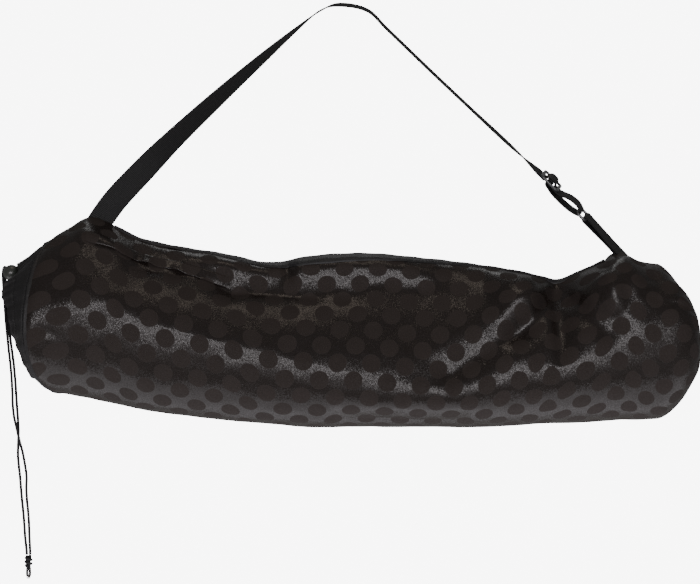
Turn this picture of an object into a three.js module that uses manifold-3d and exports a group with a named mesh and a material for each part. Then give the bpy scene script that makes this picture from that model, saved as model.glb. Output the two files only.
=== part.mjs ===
// Yoga mat bag: a long tube of dotted cloth with a drawstring mouth at one end, hanging from the
// middle of its webbing shoulder strap.
// Millimetres, +Z up, +X along the bag from its mouth to its closed end, -Y towards the front.
// The origin is the highest point of the strap, where a hook or a shoulder holds it.
import * as THREE from 'three';
import { mergeVertices } from 'three/addons/utils/BufferGeometryUtils.js';
import Module from 'manifold-3d';

const wasm = await Module();
wasm.setup();

// Driving dimensions
const bagLength = 693;
const bagHeight = 172;
const bagDepth = 150;
const strapDrop = 251;
const mouthSetback = 335;
const clothWall = 1.8;
const casingWall = 3;
const endBulge = 41;
const pieceGap = 0.3;

// Drawstring mouth
const mouthSag = 0.3;
const gatherDepth = 2.2;
const gatherCount = 8;
const gatherFade = 2.5;
const rimRoll = 1.2;
const rimRollInset = 0.6;

// Lip of the pocket slit and tape on the top seam
const lipHeight = 9;
const lipThickness = 1.6;
const lipBed = 1;
const bindingThickness = 1.2;
const bindingSeat = 0.36;

// Webbing
const strapWidth = 25;
const strapThickness = 1.5;
const strapLeftPlace = 0.1378;
const strapRightPlace = 0.885;
const strapPlay = 0.35;

// Slider and ring, in their own frame: X down the strap, Y across it, Z out of the plate
const hardwareTilt = Math.PI / 4;
const sliderPlate = 2.6;
const sliderHalfLength = 12;
const sliderOuterBar = 4.4;
const sliderCentreBar = 3.2;
const sliderCornerRadius = 3;
const sliderRail = 3;
const ringWire = 3;
const ringPitch = 10;
const ringCorner = 2.4;
const loopRun = 41;
const loopOffset = -1.4;
const sliderApproach = 4;
const anchorRun = 46.6;
const hardwareTurn = 17; // about the strap's run, which brings its face to the front, in degrees
const anchorTurn = 28;
const anchorTurnPower = 1.5;
const anchorSpread = 1.1;
const anchorCloseShare = 0.625;

// Drawstring and its lock
const cordDiameter = 2.8;
const lockRadius = 8.2;
const lockBoreDepth = 2.2;
const lockBorePlay = 0.4;
const knotRadius = 4.2;
const knotHeight = 13;
const tailRadius = 1.7;
const tailLength = 12;

// Mesh fineness
const around = 40;
const ringsPerRow = 2;
const bendSteps = 6;
const cordSides = 8;
const strandSteps = 44;
const lockSides = 18;
const lockRings = 10;
const knotSides = 12;
const bisections = 40;

const halfDepth = bagDepth / 2;
const slotWidth = strapWidth + 2;

const materials = {
  cloth: new THREE.MeshStandardMaterial({ color: 0x2b2726, roughness: 0.62, metalness: 0 }),
  hem: new THREE.MeshStandardMaterial({ color: 0x242221, roughness: 0.6, metalness: 0 }),
  tape: new THREE.MeshStandardMaterial({ color: 0x3c3d3f, roughness: 0.5, metalness: 0 }),
  webbing: new THREE.MeshStandardMaterial({ color: 0x191a1b, roughness: 0.75, metalness: 0 }),
  plastic: new THREE.MeshStandardMaterial({ color: 0x3a3c3c, roughness: 0.3, metalness: 0 }),
  cord: new THREE.MeshStandardMaterial({ color: 0x1d1d1e, roughness: 0.8, metalness: 0 }),
};

// Sections of the cloth, from the mouth's rim to the end panel's seam. place is the share of the bag's
// length; top, bottom and crest are shares of its height below the seam line, the crest being the
// fullest level; depth is the share of the half depth. upper and lower are the exponents of the
// curves above and below the crest: 2 is round and 1 is a straight slope. lean, front and back are
// shares of the depth: how far the bottom trails the top, and how far the front and the back reach
// past the section towards the mouth.
const sectionColumns = [
  'place', 'top', 'bottom', 'crest', 'depth', 'upper', 'lower', 'lean', 'front', 'back',
];
const sections = [
  [0.048, 0.067, 0.79, 0.407, 0.667, 2, 2, 0.132, 0.14, 0.22],
  [0.075, -0.087, 0.802, 0.39, 0.84, 1.9, 2, 0.033, 0.16, 0.213],
  [0.097, -0.165, 0.814, 0.33, 0.9, 1.7, 2.1, 0.01, 0.07, 0.1],
  [0.1205, -0.215, 0.828, 0.28, 0.94, 1.55, 2.2, 0, 0.02, 0.03],
  [0.155, -0.1715, 0.858, 0.29, 0.97, 1.45, 2.2, 0, 0, 0],
  [0.195, -0.093, 0.895, 0.36, 1, 1.4, 2.3, 0, 0, 0],
  [0.2525, -0.041, 0.93, 0.43, 1, 1.38, 2.3, 0, 0, 0],
  [0.3175, 0, 0.957, 0.5, 0.98, 1.35, 2.3, 0, 0, 0],
  [0.382, 0.05, 0.982, 0.565, 0.97, 1.35, 2.3, 0, 0, 0],
  [0.447, 0.008, 0.998, 0.63, 0.96, 1.33, 2.3, 0, 0, 0],
  [0.5195, -0.005, 1, 0.69, 0.96, 1.33, 2.3, 0, 0, 0],
  [0.5916, 0.02, 1, 0.75, 0.96, 1.35, 2.3, 0, 0, 0],
  [0.664, 0.053, 1, 0.73, 0.98, 1.5, 2.2, 0, 0, 0],
  [0.7287, 0.092, 0.991, 0.67, 1.01, 1.85, 2.1, 0, 0, 0],
  [0.772, 0.128, 0.983, 0.645, 1.04, 1.6, 2.1, 0, 0, 0],
  [0.795, 0.15, 0.977, 0.635, 1.05, 1.25, 2.1, 0, 0, 0],
  [0.8225, 0.112, 0.972, 0.6, 1.04, 1.55, 2.1, 0, 0, 0],
  [0.8586, 0.047, 0.965, 0.55, 1.02, 1.85, 2.1, 0, 0, 0],
  [0.8874, -0.01, 0.96, 0.5, 1, 1.9, 2.1, 0, 0, 0],
  [0.916, 0.032, 0.959, 0.455, 0.98, 2, 2.1, 0, 0, 0],
  [0.9408, 0.05, 0.952, 0.43, 0.95, 2, 2.1, 0, 0, 0],
].map((row) => Object.fromEntries(sectionColumns.map((name, i) => [name, row[i]])));
const rimRow = 0;
const seamRow = 1;
const endRow = sections.length - 1;

// Dome of the end panel: its crown's level, and the exponent of its profile.
const endDome = { level: 0.58, exponent: 1.6, rings: [0.93, 0.8, 0.6, 0.33] };

// Folds of the cloth, each a soft line on one side of the bag. The ends are shares of the length and
// of the height, width is a share of the height and rise a share of the depth, less than 0 for a dent.
const foldColumns = ['side', 'fromPlace', 'fromDrop', 'toPlace', 'toDrop', 'width', 'rise'];
const folds = [
  ['front', 0.115, -0.12, 0.17, -0.02, 0.06, 0.03],
  ['front', 0.2, 0.03, 0.325, 0.185, 0.07, -0.022],
  ['front', 0.325, 0.185, 0.5, 0.215, 0.08, -0.03],
  ['front', 0.27, 0.07, 0.43, 0.11, 0.07, 0.025],
  ['front', 0.43, 0.11, 0.6, 0.1, 0.08, 0.028],
  ['front', 0.79, 0.17, 0.735, 0.42, 0.09, -0.05],
  ['front', 0.735, 0.42, 0.64, 0.66, 0.1, -0.04],
  ['front', 0.8, 0.19, 0.86, 0.43, 0.07, -0.03],
  ['front', 0.735, 0.28, 0.735, 0.32, 0.13, 0.03],
  ['front', 0.87, 0.22, 0.87, 0.28, 0.15, 0.03],
  ['front', 0.48, 0.935, 0.66, 0.935, 0.05, -0.025],
  ['back', 0.15, 0.05, 0.3, 0.3, 0.09, -0.03],
  ['back', 0.3, 0.12, 0.55, 0.17, 0.08, -0.025],
  ['back', 0.79, 0.18, 0.7, 0.5, 0.1, -0.045],
  ['back', 0.86, 0.25, 0.9, 0.35, 0.14, 0.03],
].map((row) => Object.fromEntries(foldColumns.map((name, i) => [name, row[i]])));

// Lower edge of the pocket's lip, and where it stands off the bag. lift is in lip thicknesses.
const lipLine = [
  { place: 0.123, drop: -0.08, lift: 0 },
  { place: 0.16, drop: -0.035, lift: 0.2 },
  { place: 0.178, drop: 0.005, lift: 0.2 },
  { place: 0.202, drop: 0.05, lift: 1.6 },
  { place: 0.224, drop: 0.07, lift: 0.3 },
  { place: 0.25, drop: 0.09, lift: 1.6 },
  { place: 0.274, drop: 0.115, lift: 0.4 },
  { place: 0.3, drop: 0.145, lift: 0.5 },
  { place: 0.327, drop: 0.185, lift: 0 },
];

// The strap's left leg as shares of the way from its highest point to the seam, with its turn in
// degrees: 0 faces the front and 90 is seen on edge.
const leftLeg = [
  { across: 0.933, drop: 0.9, turn: 11 },
  { across: 0.816, drop: 0.762, turn: 22 },
  { across: 0.693, drop: 0.624, turn: 42 },
  { across: 0.516, drop: 0.441, turn: 57 },
  { across: 0.33, drop: 0.257, turn: 73 },
  { across: 0.185, drop: 0.119, turn: 88 },
  { across: 0.081, drop: 0.03, turn: 97 },
];
// The right leg, as shares of the way to where it enters the slider.
const rightLeg = [
  { across: 0.138, drop: 0.038, turn: 90 },
  { across: 0.241, drop: 0.153, turn: 90 },
  { across: 0.446, drop: 0.387, turn: 90 },
  { across: 0.656, drop: 0.622, turn: 90 },
  { across: 0.869, drop: 0.857, turn: 90 },
];

// The strap's two plies between the slider and the ring: shares of the way to the ring, and how far
// off the slider's plane.
const upperPly = [
  { share: 0.317, off: -2.5 },
  { share: 0.43, off: -1.1 },
  { share: 0.54, off: 0.9 },
  { share: 0.67, off: 2.4 },
  { share: 0.83, off: 3 },
  { share: 0.94, off: 2.1 },
];
const lowerPly = [
  { share: 0.92, off: -5.1 },
  { share: 0.8, off: -6.2 },
  { share: 0.6, off: -6.9 },
  { share: 0.4, off: -7 },
  { share: 0.2, off: -6.6 },
  { share: 0.1, off: -5.7 },
];

// Routes of the two drawstring strands from the lock to the knot.
const frontStrand = [
  [-335.5, 5.3, -263], [-336.9, 6.6, -263.6], [-337.8, 7.6, -265.6], [-338.2, 8.2, -269],
  [-338.2, 8.4, -273.5], [-337.9, 8.2, -280], [-337.1, 7.6, -290], [-336, 6.4, -303],
  [-334.9, 5, -316], [-333.3, 3.6, -331], [-331.6, 2.4, -346], [-330, 1.2, -358],
  [-328.6, 0.4, -372], [-327.6, -0.2, -388], [-327.2, -0.8, -400], [-325.8, -1.8, -412],
  [-323, -2.6, -424], [-320.3, -2.4, -436], [-317.2, -1.6, -448], [-315, -1, -460],
  [-313.4, -0.6, -472], [-313.6, -0.4, -484], [-313, -0.2, -496], [-311.8, 0, -508],
  [-311, 0, -520], [-310.6, 0, -532], [-310, 0, -544], [-309.8, 0, -550.6],
];
const backStrand = [
  [-333, 9.1, -265.8], [-334.2, 11.2, -266.1], [-335.4, 12.6, -268], [-336.1, 13.3, -271.4],
  [-336.4, 13.3, -276], [-336.2, 12.8, -282], [-335.2, 11.6, -292], [-334, 10.2, -305],
  [-332.6, 8.8, -318], [-330.9, 7.4, -332], [-329, 6.2, -346], [-327.2, 5.2, -358],
  [-326.1, 4.4, -368], [-325, 3.9, -380], [-324.2, 3.6, -392], [-323.5, 3.2, -402],
  [-322.5, 2.8, -414], [-321.8, 2.4, -426], [-322, 2, -438], [-322.2, 1.4, -450],
  [-321.4, 1, -461], [-320, 0.6, -473], [-319.1, 0.4, -484], [-318, 0.2, -496],
  [-316.7, 0, -508], [-315.7, 0, -520], [-314.9, 0, -532], [-313.6, 0, -544], [-313.1, 0, -550.6],
];
const frontExit = new THREE.Vector3(-0.66, 0.5, 0.56).normalize();
const backExit = new THREE.Vector3(-0.42, 0.86, 0.29).normalize();
const knotAt = new THREE.Vector3(-311.45, 0, -551);
const lockSeat = new THREE.Vector3(-0.69, 0, -0.72).normalize();

// Value of a smooth curve through four evenly spaced values, t of the way from the second to the third.
function smooth(t, before, from, to, after) {
  const leave = (to - before) / 2;
  const arrive = (after - from) / 2;
  const t2 = t * t;
  const t3 = t2 * t;
  return (2 * t3 - 3 * t2 + 1) * from + (t3 - 2 * t2 + t) * leave
    + (3 * t2 - 2 * t3) * to + (t3 - t2) * arrive;
}

// The section at a row number, which may lie between two rows.
function sectionAt(row) {
  const last = sections.length - 1;
  const i = Math.min(Math.max(Math.floor(row), 0), last - 1);
  const near = [i - 1, i, i + 1, i + 2].map((k) => sections[Math.min(Math.max(k, 0), last)]);
  const blend = (name) => smooth(row - i, ...near.map((section) => section[name]));
  return Object.fromEntries(sectionColumns.map((name) => [name, blend(name)]));
}

// The row number of a place along the bag.
function rowAt(place) {
  let low = rimRow;
  let high = endRow;
  for (let i = 0; i < bisections; i += 1) {
    const middle = (low + high) / 2;
    if (sectionAt(middle).place < place) {
      low = middle;
    } else {
      high = middle;
    }
  }
  return (low + high) / 2;
}

const levelOf = (drop) => -strapDrop - drop * bagHeight;
const stationOf = (place) => place * bagLength - mouthSetback;

// How far the folds push the cloth out at a point of one side, seen from the front.
function foldRise(side, x, z) {
  let rise = 0;
  for (const fold of folds) {
    if (fold.side !== side) {
      continue;
    }
    const from = new THREE.Vector2(stationOf(fold.fromPlace), levelOf(fold.fromDrop));
    const to = new THREE.Vector2(stationOf(fold.toPlace), levelOf(fold.toDrop));
    const along = to.clone().sub(from);
    const reach = new THREE.Vector2(x, z).sub(from);
    const share = Math.min(Math.max(reach.dot(along) / along.lengthSq(), 0), 1);
    const apart = reach.sub(along.multiplyScalar(share)).length() / (fold.width * bagHeight);
    rise += fold.rise * bagDepth * Math.exp(-apart * apart);
  }
  return rise;
}

// A point of the cloth's outer face. The angle is 0 at the top seam and turns towards the front.
function clothPoint(row, angle) {
  const section = sectionAt(row);
  const cosine = Math.cos(angle);
  const sine = Math.sin(angle);
  const power = 2 / (cosine > 0 ? section.upper : section.lower);
  const high = Math.sign(cosine) * Math.abs(cosine) ** power;
  const wide = Math.abs(sine) ** power;
  const span = cosine > 0 ? section.crest - section.top : section.bottom - section.crest;
  const reach = sine > 0 ? section.front : section.back;
  const point = new THREE.Vector3(
    stationOf(section.place) - bagDepth * (section.lean * high + reach * wide * (1 - mouthSag * high)),
    -Math.sign(sine) * wide * section.depth * halfDepth,
    levelOf(section.crest - high * span),
  );
  const outward = new THREE.Vector3(0, point.y, point.z - levelOf(section.crest)).normalize();
  const gather = gatherDepth * Math.exp(-gatherFade * Math.max(row, 0)) * Math.cos(gatherCount * angle);
  const fold = foldRise(sine > 0 ? 'front' : 'back', point.x, point.z) * Math.min(1, 2 * wide);
  return point.addScaledVector(outward, gather + fold);
}

// The outward direction of the cloth at a point.
function clothNormal(row, angle) {
  const step = 0.05;
  const along = clothPoint(row + step, angle).sub(clothPoint(row - step, angle));
  const round = clothPoint(row, angle + step).sub(clothPoint(row, angle - step));
  const normal = round.cross(along).normalize();
  const section = sectionAt(row);
  const outward = clothPoint(row, angle);
  outward.sub(new THREE.Vector3(outward.x, 0, levelOf(section.crest)));
  return normal.dot(outward) < 0 ? normal.negate() : normal;
}

// A point off the cloth's outer face, outwards or inwards.
const clothOffset = (row, angle, offset) => (
  clothPoint(row, angle).addScaledVector(clothNormal(row, angle), offset)
);

// A ring of points round the bag, off the outer face and pushed along the bag.
function clothRing(row, offset, push) {
  return Array.from({ length: around }, (_, i) => {
    const point = clothOffset(row, (i / around) * 2 * Math.PI, offset);
    point.x += push;
    return point;
  });
}

// The angle on the front above the crest where the cloth is at a given level.
function frontAngle(row, level) {
  let high = 0;
  let low = Math.PI / 2;
  for (let i = 0; i < bisections; i += 1) {
    const middle = (low + high) / 2;
    if (clothPoint(row, middle).z > level) {
      high = middle;
    } else {
      low = middle;
    }
  }
  return (low + high) / 2;
}

// A closed solid through rings of points. A looped one joins its last ring to its first, and any
// other is closed at both ends.
function loft(rings, looped = false) {
  const count = rings[0].length;
  const points = rings.flat();
  const faces = [];
  const bands = looped ? rings.length : rings.length - 1;
  for (let i = 0; i < bands; i += 1) {
    const here = i * count;
    const next = ((i + 1) % rings.length) * count;
    for (let j = 0; j < count; j += 1) {
      const k = (j + 1) % count;
      faces.push([here + j, next + j, next + k], [here + j, next + k, here + k]);
    }
  }
  if (!looped) {
    const last = (rings.length - 1) * count;
    for (const [ring, start, turned] of [[rings[0], 0, false], [rings.at(-1), last, true]]) {
      const centre = ring.reduce((sum, point) => sum.add(point), new THREE.Vector3());
      const hub = points.push(centre.divideScalar(count)) - 1;
      for (let j = 0; j < count; j += 1) {
        const pair = [start + j, start + ((j + 1) % count)];
        faces.push(turned ? [pair[1], pair[0], hub] : [pair[0], pair[1], hub]);
      }
    }
  }
  const volume = faces.reduce((sum, [a, b, c]) => (
    sum + points[a].dot(points[b].clone().cross(points[c]))
  ), 0);
  const outward = volume < 0 ? faces.map(([a, b, c]) => [a, c, b]) : faces;
  const geometry = new THREE.BufferGeometry().setFromPoints(points);
  geometry.setIndex(outward.flat());
  geometry.computeVertexNormals();
  return geometry;
}

// A closed geometry as a solid that can be cut, and back.
function solidOf(geometry) {
  const bare = geometry.clone();
  bare.deleteAttribute('normal');
  bare.deleteAttribute('uv');
  const merged = mergeVertices(bare);
  return new wasm.Manifold(new wasm.Mesh({
    numProp: 3,
    vertProperties: merged.attributes.position.array,
    triVerts: Uint32Array.from(merged.index.array),
  }));
}

function geometryOf(solid) {
  const { vertProperties, triVerts } = solid.getMesh();
  const geometry = new THREE.BufferGeometry();
  geometry.setAttribute('position', new THREE.BufferAttribute(vertProperties, 3));
  geometry.setIndex(new THREE.BufferAttribute(triVerts, 1));
  geometry.computeVertexNormals();
  return geometry;
}

// A ribbon through stations, each with its centre, its half width and its half thickness.
function ribbon(stations) {
  return loft(stations.map(({ at, across, up }) => [
    at.clone().add(across).add(up),
    at.clone().sub(across).add(up),
    at.clone().sub(across).sub(up),
    at.clone().add(across).sub(up),
  ]));
}

function piece(name, geometry, material) {
  const mesh = new THREE.Mesh(geometry, material);
  mesh.name = name;
  return mesh;
}

const rowsBetween = (from, to) => (
  Array.from({ length: (to - from) * ringsPerRow + 1 }, (_, i) => from + i / ringsPerRow)
);

function bagBody() {
  const rows = rowsBetween(seamRow, endRow);
  const push = (row) => (row === seamRow ? pieceGap / 2 : 0) - (row === endRow ? pieceGap / 2 : 0);
  const outer = rows.map((row) => clothRing(row, 0, push(row)));
  const inner = rows.map((row) => clothRing(row, -clothWall, push(row)));
  return piece('bag_body', loft([...outer, ...inner.reverse()], true), materials.cloth);
}

function mouthCasing() {
  const rows = rowsBetween(rimRow, seamRow);
  const push = (row) => (row === seamRow ? -pieceGap / 2 : 0);
  const outer = rows.map((row) => clothRing(row, 0, push(row))).reverse();
  const inner = rows.map((row) => clothRing(row, -casingWall, push(row)));
  const roll = [
    clothRing(rimRow, -rimRollInset, -rimRoll),
    clothRing(rimRow, rimRollInset - casingWall, -rimRoll),
  ];
  return piece('mouth_casing', loft([...outer, ...roll, ...inner], true), materials.hem);
}

function endPanel() {
  const dome = (rim, bulge) => endDome.rings.map((share) => {
    const swell = bulge * (1 - share ** endDome.exponent) ** (1 / endDome.exponent);
    const level = levelOf(endDome.level);
    return rim.map(({ x, y, z }) => (
      new THREE.Vector3(x + swell, y * share, level + (z - level) * share)
    ));
  });
  const outerRim = clothRing(endRow, 0, pieceGap / 2);
  const innerRim = clothRing(endRow, -clothWall, pieceGap / 2);
  const outer = [outerRim, ...dome(outerRim, endBulge)];
  const inner = [innerRim, ...dome(innerRim, endBulge - clothWall)];
  return piece('end_panel', loft([...outer.reverse(), ...inner]), materials.cloth);
}

function pocketLip() {
  const columns = ['place', 'drop', 'lift'];
  const count = (lipLine.length - 1) * 2;
  const rings = Array.from({ length: count + 1 }, (_, k) => {
    const i = Math.min(Math.floor(k / 2), lipLine.length - 2);
    const near = [i - 1, i, i + 1, i + 2].map((j) => lipLine[Math.min(Math.max(j, 0), lipLine.length - 1)]);
    const [place, drop, lift] = columns.map((name) => smooth(k / 2 - i, ...near.map((row) => row[name])));
    const row = rowAt(place);
    const levels = [0, lipHeight / 2, lipHeight].map((rise) => levelOf(drop) + rise);
    const angles = levels.map((level) => frontAngle(row, level));
    const stand = [1, 0.5, 0].map((share) => Math.max(lift, 0) * lipThickness * share);
    const back = angles.map((angle, j) => clothOffset(row, angle, stand[j] - lipBed));
    const face = angles.map((angle, j) => clothOffset(row, angle, stand[j] + pieceGap + lipThickness));
    return [...back, ...face.reverse()];
  });
  const bed = loft(rowsBetween(seamRow, endRow).map((row) => clothRing(row, pieceGap, 0)));
  const lip = solidOf(loft(rings)).subtract(solidOf(bed));
  return piece('pocket_lip', geometryOf(lip), materials.cloth);
}

function seamBinding() {
  const first = Math.ceil(rowAt(strapLeftPlace) * ringsPerRow + 1) / ringsPerRow;
  const last = Math.floor(rowAt(strapRightPlace) * ringsPerRow - 1) / ringsPerRow;
  const step = (2 * Math.PI) / around;
  const face = bindingSeat + bindingThickness;
  const rings = rowsBetween(first, last).map((row) => {
    const under = [-step, 0, step].map((angle) => clothOffset(row, angle, bindingSeat));
    const over = [step, 0, -step].map((angle) => clothOffset(row, angle, face));
    return [...under, ...over];
  });
  return piece('seam_binding', loft(rings), materials.tape);
}

// Places of the strap's two sewn ends and of its hardware
const downStrap = new THREE.Vector3(Math.cos(hardwareTilt), 0, -Math.sin(hardwareTilt));
const aboveStrap = new THREE.Vector3(Math.sin(hardwareTilt), 0, Math.cos(hardwareTilt));
const acrossStrap = new THREE.Vector3(0, 1, 0);
const sliderRoll = THREE.MathUtils.degToRad(hardwareTurn);
const acrossSlider = acrossStrap.clone().applyAxisAngle(downStrap, sliderRoll);
const offSlider = aboveStrap.clone().applyAxisAngle(downStrap, sliderRoll);
const rightSeat = clothPoint(rowAt(strapRightPlace), 0);
rightSeat.z += pieceGap + (anchorSpread + strapThickness / 2) * Math.cos(hardwareTilt);
const sliderAt = rightSeat.clone()
  .addScaledVector(downStrap, -(anchorRun + ringPitch + loopRun))
  .addScaledVector(offSlider, -2 * loopOffset);
const hardwarePoint = (down, off) => (
  sliderAt.clone().addScaledVector(downStrap, down).addScaledVector(offSlider, off)
);

// The line of the seam under the strap's left end, and how high the end must sit to clear it.
function leftSeat() {
  const share = (strapWidth / 2) / bagLength;
  const ends = [strapLeftPlace - share, strapLeftPlace + share].map((place) => (
    clothPoint(rowAt(place), 0)
  ));
  const along = ends[1].clone().sub(ends[0]);
  let lift = 0;
  for (let i = 0; i <= 10; i += 1) {
    const place = strapLeftPlace + share * (i / 5 - 1);
    const point = clothPoint(rowAt(place), 0);
    const chord = ends[0].z + (along.z * (point.x - ends[0].x)) / along.x;
    lift = Math.max(lift, point.z - chord);
  }
  const at = ends[0].clone().add(ends[1]).divideScalar(2);
  at.z += lift + pieceGap;
  return { at, across: along.normalize().multiplyScalar(strapWidth / 2) };
}

// The strap's way through the slider, round the ring and back to the slider's middle bar, in the
// slider's plane: how far down the strap and how far off the plate.
function threadedRoute() {
  const play = strapPlay + strapThickness / 2;
  const bar = sliderCentreBar / 2;
  const lid = sliderPlate / 2;
  const edge = sliderHalfLength - sliderOuterBar;
  const wrap = lid + play;
  const over = wrap + strapThickness + strapPlay;
  const side = bar + play;
  const slot = side + strapThickness + strapPlay * 2;
  const turn = ringWire / 2 + play;
  const mirrored = (route) => route.map(([along, off]) => [-along, off]).reverse();
  const up = [
    [-edge - 1.4, -wrap], [-edge + 0.7, -wrap - 0.1], [-slot - 0.9, 1.2 - wrap], [-slot - 0.6, 0.2],
    [-slot - 0.2, 2.3], [-side, over - 0.2],
  ];
  const round = Array.from({ length: bendSteps + 1 }, (_, i) => {
    const angle = (Math.PI * i) / bendSteps;
    return [loopRun + turn * Math.sin(angle), loopOffset + turn * Math.cos(angle)];
  });
  const front = upperPly.map(({ share, off }) => [loopRun * share, off]);
  const back = lowerPly.map(({ share, off }) => [loopRun * share, off]);
  const intoSlot = [[-0.6, -wrap - strapThickness - 0.7], [-side + 0.2, -wrap - 1.2], [-side - 0.25, -1.7]];
  const corner = play * Math.SQRT1_2;
  const wrapUp = [[-side, 0], [-side, lid], [-bar - corner, lid + corner], [-bar, wrap]];
  const wrapUnder = [[side, -lid], [bar + corner, -lid - corner], [bar, -wrap], [bar * 0.25, -wrap - 0.05]];
  return [
    ...up, [0, over], ...mirrored(up), ...front, ...round, ...back, ...intoSlot,
    ...wrapUp, [0, wrap], ...mirrored(wrapUp), ...wrapUnder,
  ];
}

function shoulderStrap() {
  const seat = leftSeat();
  const threaded = threadedRoute().map(([down, off]) => hardwarePoint(down, off));
  const entry = hardwarePoint(-sliderHalfLength - sliderApproach, threadedRoute()[0][1]);
  const top = new THREE.Vector3(0, 0, -strapThickness / 2);
  const toLeft = leftLeg.map(({ across, drop }) => new THREE.Vector3(seat.at.x * across, 0, seat.at.z * drop));
  const toRight = rightLeg.map(({ across, drop }) => new THREE.Vector3(entry.x * across, 0, entry.z * drop));
  const route = [seat.at, ...toLeft, top, ...toRight, entry];
  const turns = [
    0, ...leftLeg.map((row) => row.turn), 90, ...rightLeg.map((row) => row.turn), 90 + hardwareTurn,
  ];
  const curve = new THREE.CatmullRomCurve3(route, false, 'catmullrom', 0.5);
  const stations = [];
  const perLeg = 3;
  const add = (at, along, across) => {
    const up = along.clone().cross(across).normalize().multiplyScalar(strapThickness / 2);
    stations.push({ at, across: across.multiplyScalar(strapWidth / 2), up });
  };
  const turned = (along, turn) => {
    const inPlane = acrossStrap.clone().cross(along).normalize();
    const angle = THREE.MathUtils.degToRad(turn);
    return inPlane.multiplyScalar(Math.cos(angle)).addScaledVector(acrossStrap, Math.sin(angle));
  };
  for (let i = 0; i < (route.length - 1) * perLeg; i += 1) {
    const t = i / ((route.length - 1) * perLeg);
    const leg = Math.floor(i / perLeg);
    const share = i / perLeg - leg;
    const along = curve.getTangent(t);
    add(curve.getPoint(t), along, turned(along, turns[leg] + (turns[leg + 1] - turns[leg]) * share));
  }
  const points = [entry, ...threaded];
  points.forEach((point, i) => {
    const before = points[Math.max(i - 1, 0)];
    const after = points[Math.min(i + 1, points.length - 1)];
    add(point, after.clone().sub(before).normalize(), acrossSlider.clone());
  });
  const flip = stations[1].across.dot(seat.across) < 0 ? -1 : 1;
  stations[0].across = seat.across.clone().multiplyScalar(flip);
  stations[0].up = stations[1].up.clone();
  return piece('shoulder_strap', ribbon(stations), materials.webbing);
}

// The doubled webbing between the ring and the seam: down one layer, round the ring and back.
function anchorLoop() {
  const bar = hardwarePoint(loopRun + ringPitch, loopOffset);
  const axis = rightSeat.clone().sub(bar);
  const turn = ringWire / 2 + strapPlay + strapThickness / 2;
  const steps = 8;
  const along = axis.clone().normalize();
  const place = (share, side) => {
    const further = (anchorTurn - hardwareTurn) * share ** anchorTurnPower;
    const angle = THREE.MathUtils.degToRad(hardwareTurn + further);
    const level = aboveStrap.clone().lerp(new THREE.Vector3(1, 0, 0), share).normalize();
    const across = acrossStrap.clone().multiplyScalar(Math.cos(angle)).addScaledVector(level, Math.sin(angle));
    const off = across.clone().cross(along).normalize();
    const spread = turn + (anchorSpread - turn) * Math.min(1, share / anchorCloseShare);
    const at = bar.clone().addScaledVector(axis, share).addScaledVector(off, side * spread);
    return { at, across: across.multiplyScalar(strapWidth / 2), up: off.multiplyScalar(strapThickness / 2) };
  };
  const leg = Array.from({ length: steps }, (_, i) => 1 - i / steps);
  const up = leg.map((share) => place(share, 1));
  const down = leg.map((share) => place(share, -1)).reverse();
  const off = acrossSlider.clone().cross(along).normalize();
  const bend = Array.from({ length: bendSteps + 1 }, (_, i) => {
    const angle = (Math.PI * i) / bendSteps;
    const out = off.clone().multiplyScalar(Math.cos(angle)).addScaledVector(along, -Math.sin(angle));
    return {
      at: bar.clone().addScaledVector(out, turn),
      across: acrossSlider.clone().multiplyScalar(strapWidth / 2),
      up: out.clone().multiplyScalar(strapThickness / 2),
    };
  });
  down.forEach((station) => station.up.negate());
  return piece('anchor_loop', ribbon([...up, ...bend, ...down]), materials.webbing);
}

// Corner points of a rectangle with rounded corners, round its middle.
function roundedBox(halfX, halfY, radius) {
  const steps = 3;
  const corners = [[1, -1, -0.5], [1, 1, 0], [-1, 1, 0.5], [-1, -1, 1]];
  return corners.flatMap(([x, y, start]) => Array.from({ length: steps + 1 }, (_, i) => {
    const angle = Math.PI * (start + (0.5 * i) / steps);
    return new THREE.Vector2(
      x * (halfX - radius) + radius * Math.cos(angle),
      y * (halfY - radius) + radius * Math.sin(angle),
    );
  }));
}

function strapSlider() {
  const plate = new THREE.Shape(
    roundedBox(sliderHalfLength, slotWidth / 2 + sliderRail, sliderCornerRadius),
  );
  const geometry = new THREE.ExtrudeGeometry(plate, { depth: sliderPlate, bevelEnabled: false });
  geometry.translate(0, 0, -sliderPlate / 2);
  const inner = sliderCentreBar / 2;
  const outer = sliderHalfLength - sliderOuterBar;
  let solid = solidOf(geometry);
  for (const side of [-1, 1]) {
    const slot = new THREE.BoxGeometry(outer - inner, slotWidth, sliderPlate * 2);
    slot.translate((side * (inner + outer)) / 2, 0, 0);
    solid = solid.subtract(solidOf(slot));
  }
  return piece('strap_slider', geometryOf(solid), materials.plastic);
}

function strapRing() {
  const halfX = ringPitch / 2;
  const halfY = slotWidth / 2 + ringWire / 2;
  const path = roundedBox(halfX, halfY, ringCorner);
  const rings = path.map((point, i) => {
    const along = path[(i + 1) % path.length].clone().sub(path.at(i - 1)).normalize();
    const out = new THREE.Vector3(along.y, -along.x, 0);
    return Array.from({ length: cordSides }, (_, j) => {
      const angle = (j / cordSides) * 2 * Math.PI;
      return new THREE.Vector3(point.x, point.y, 0)
        .addScaledVector(out, (ringWire / 2) * Math.cos(angle))
        .add(new THREE.Vector3(0, 0, (ringWire / 2) * Math.sin(angle)));
    });
  });
  return piece('strap_ring', loft(rings, true), materials.plastic);
}

// The ball lock hangs against the top of the mouth's rim.
const lockAt = clothRing(rimRow, -casingWall / 2, -rimRoll * 0.75)[0]
  .addScaledVector(lockSeat, casingWall / 2 + pieceGap + lockRadius);

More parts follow.
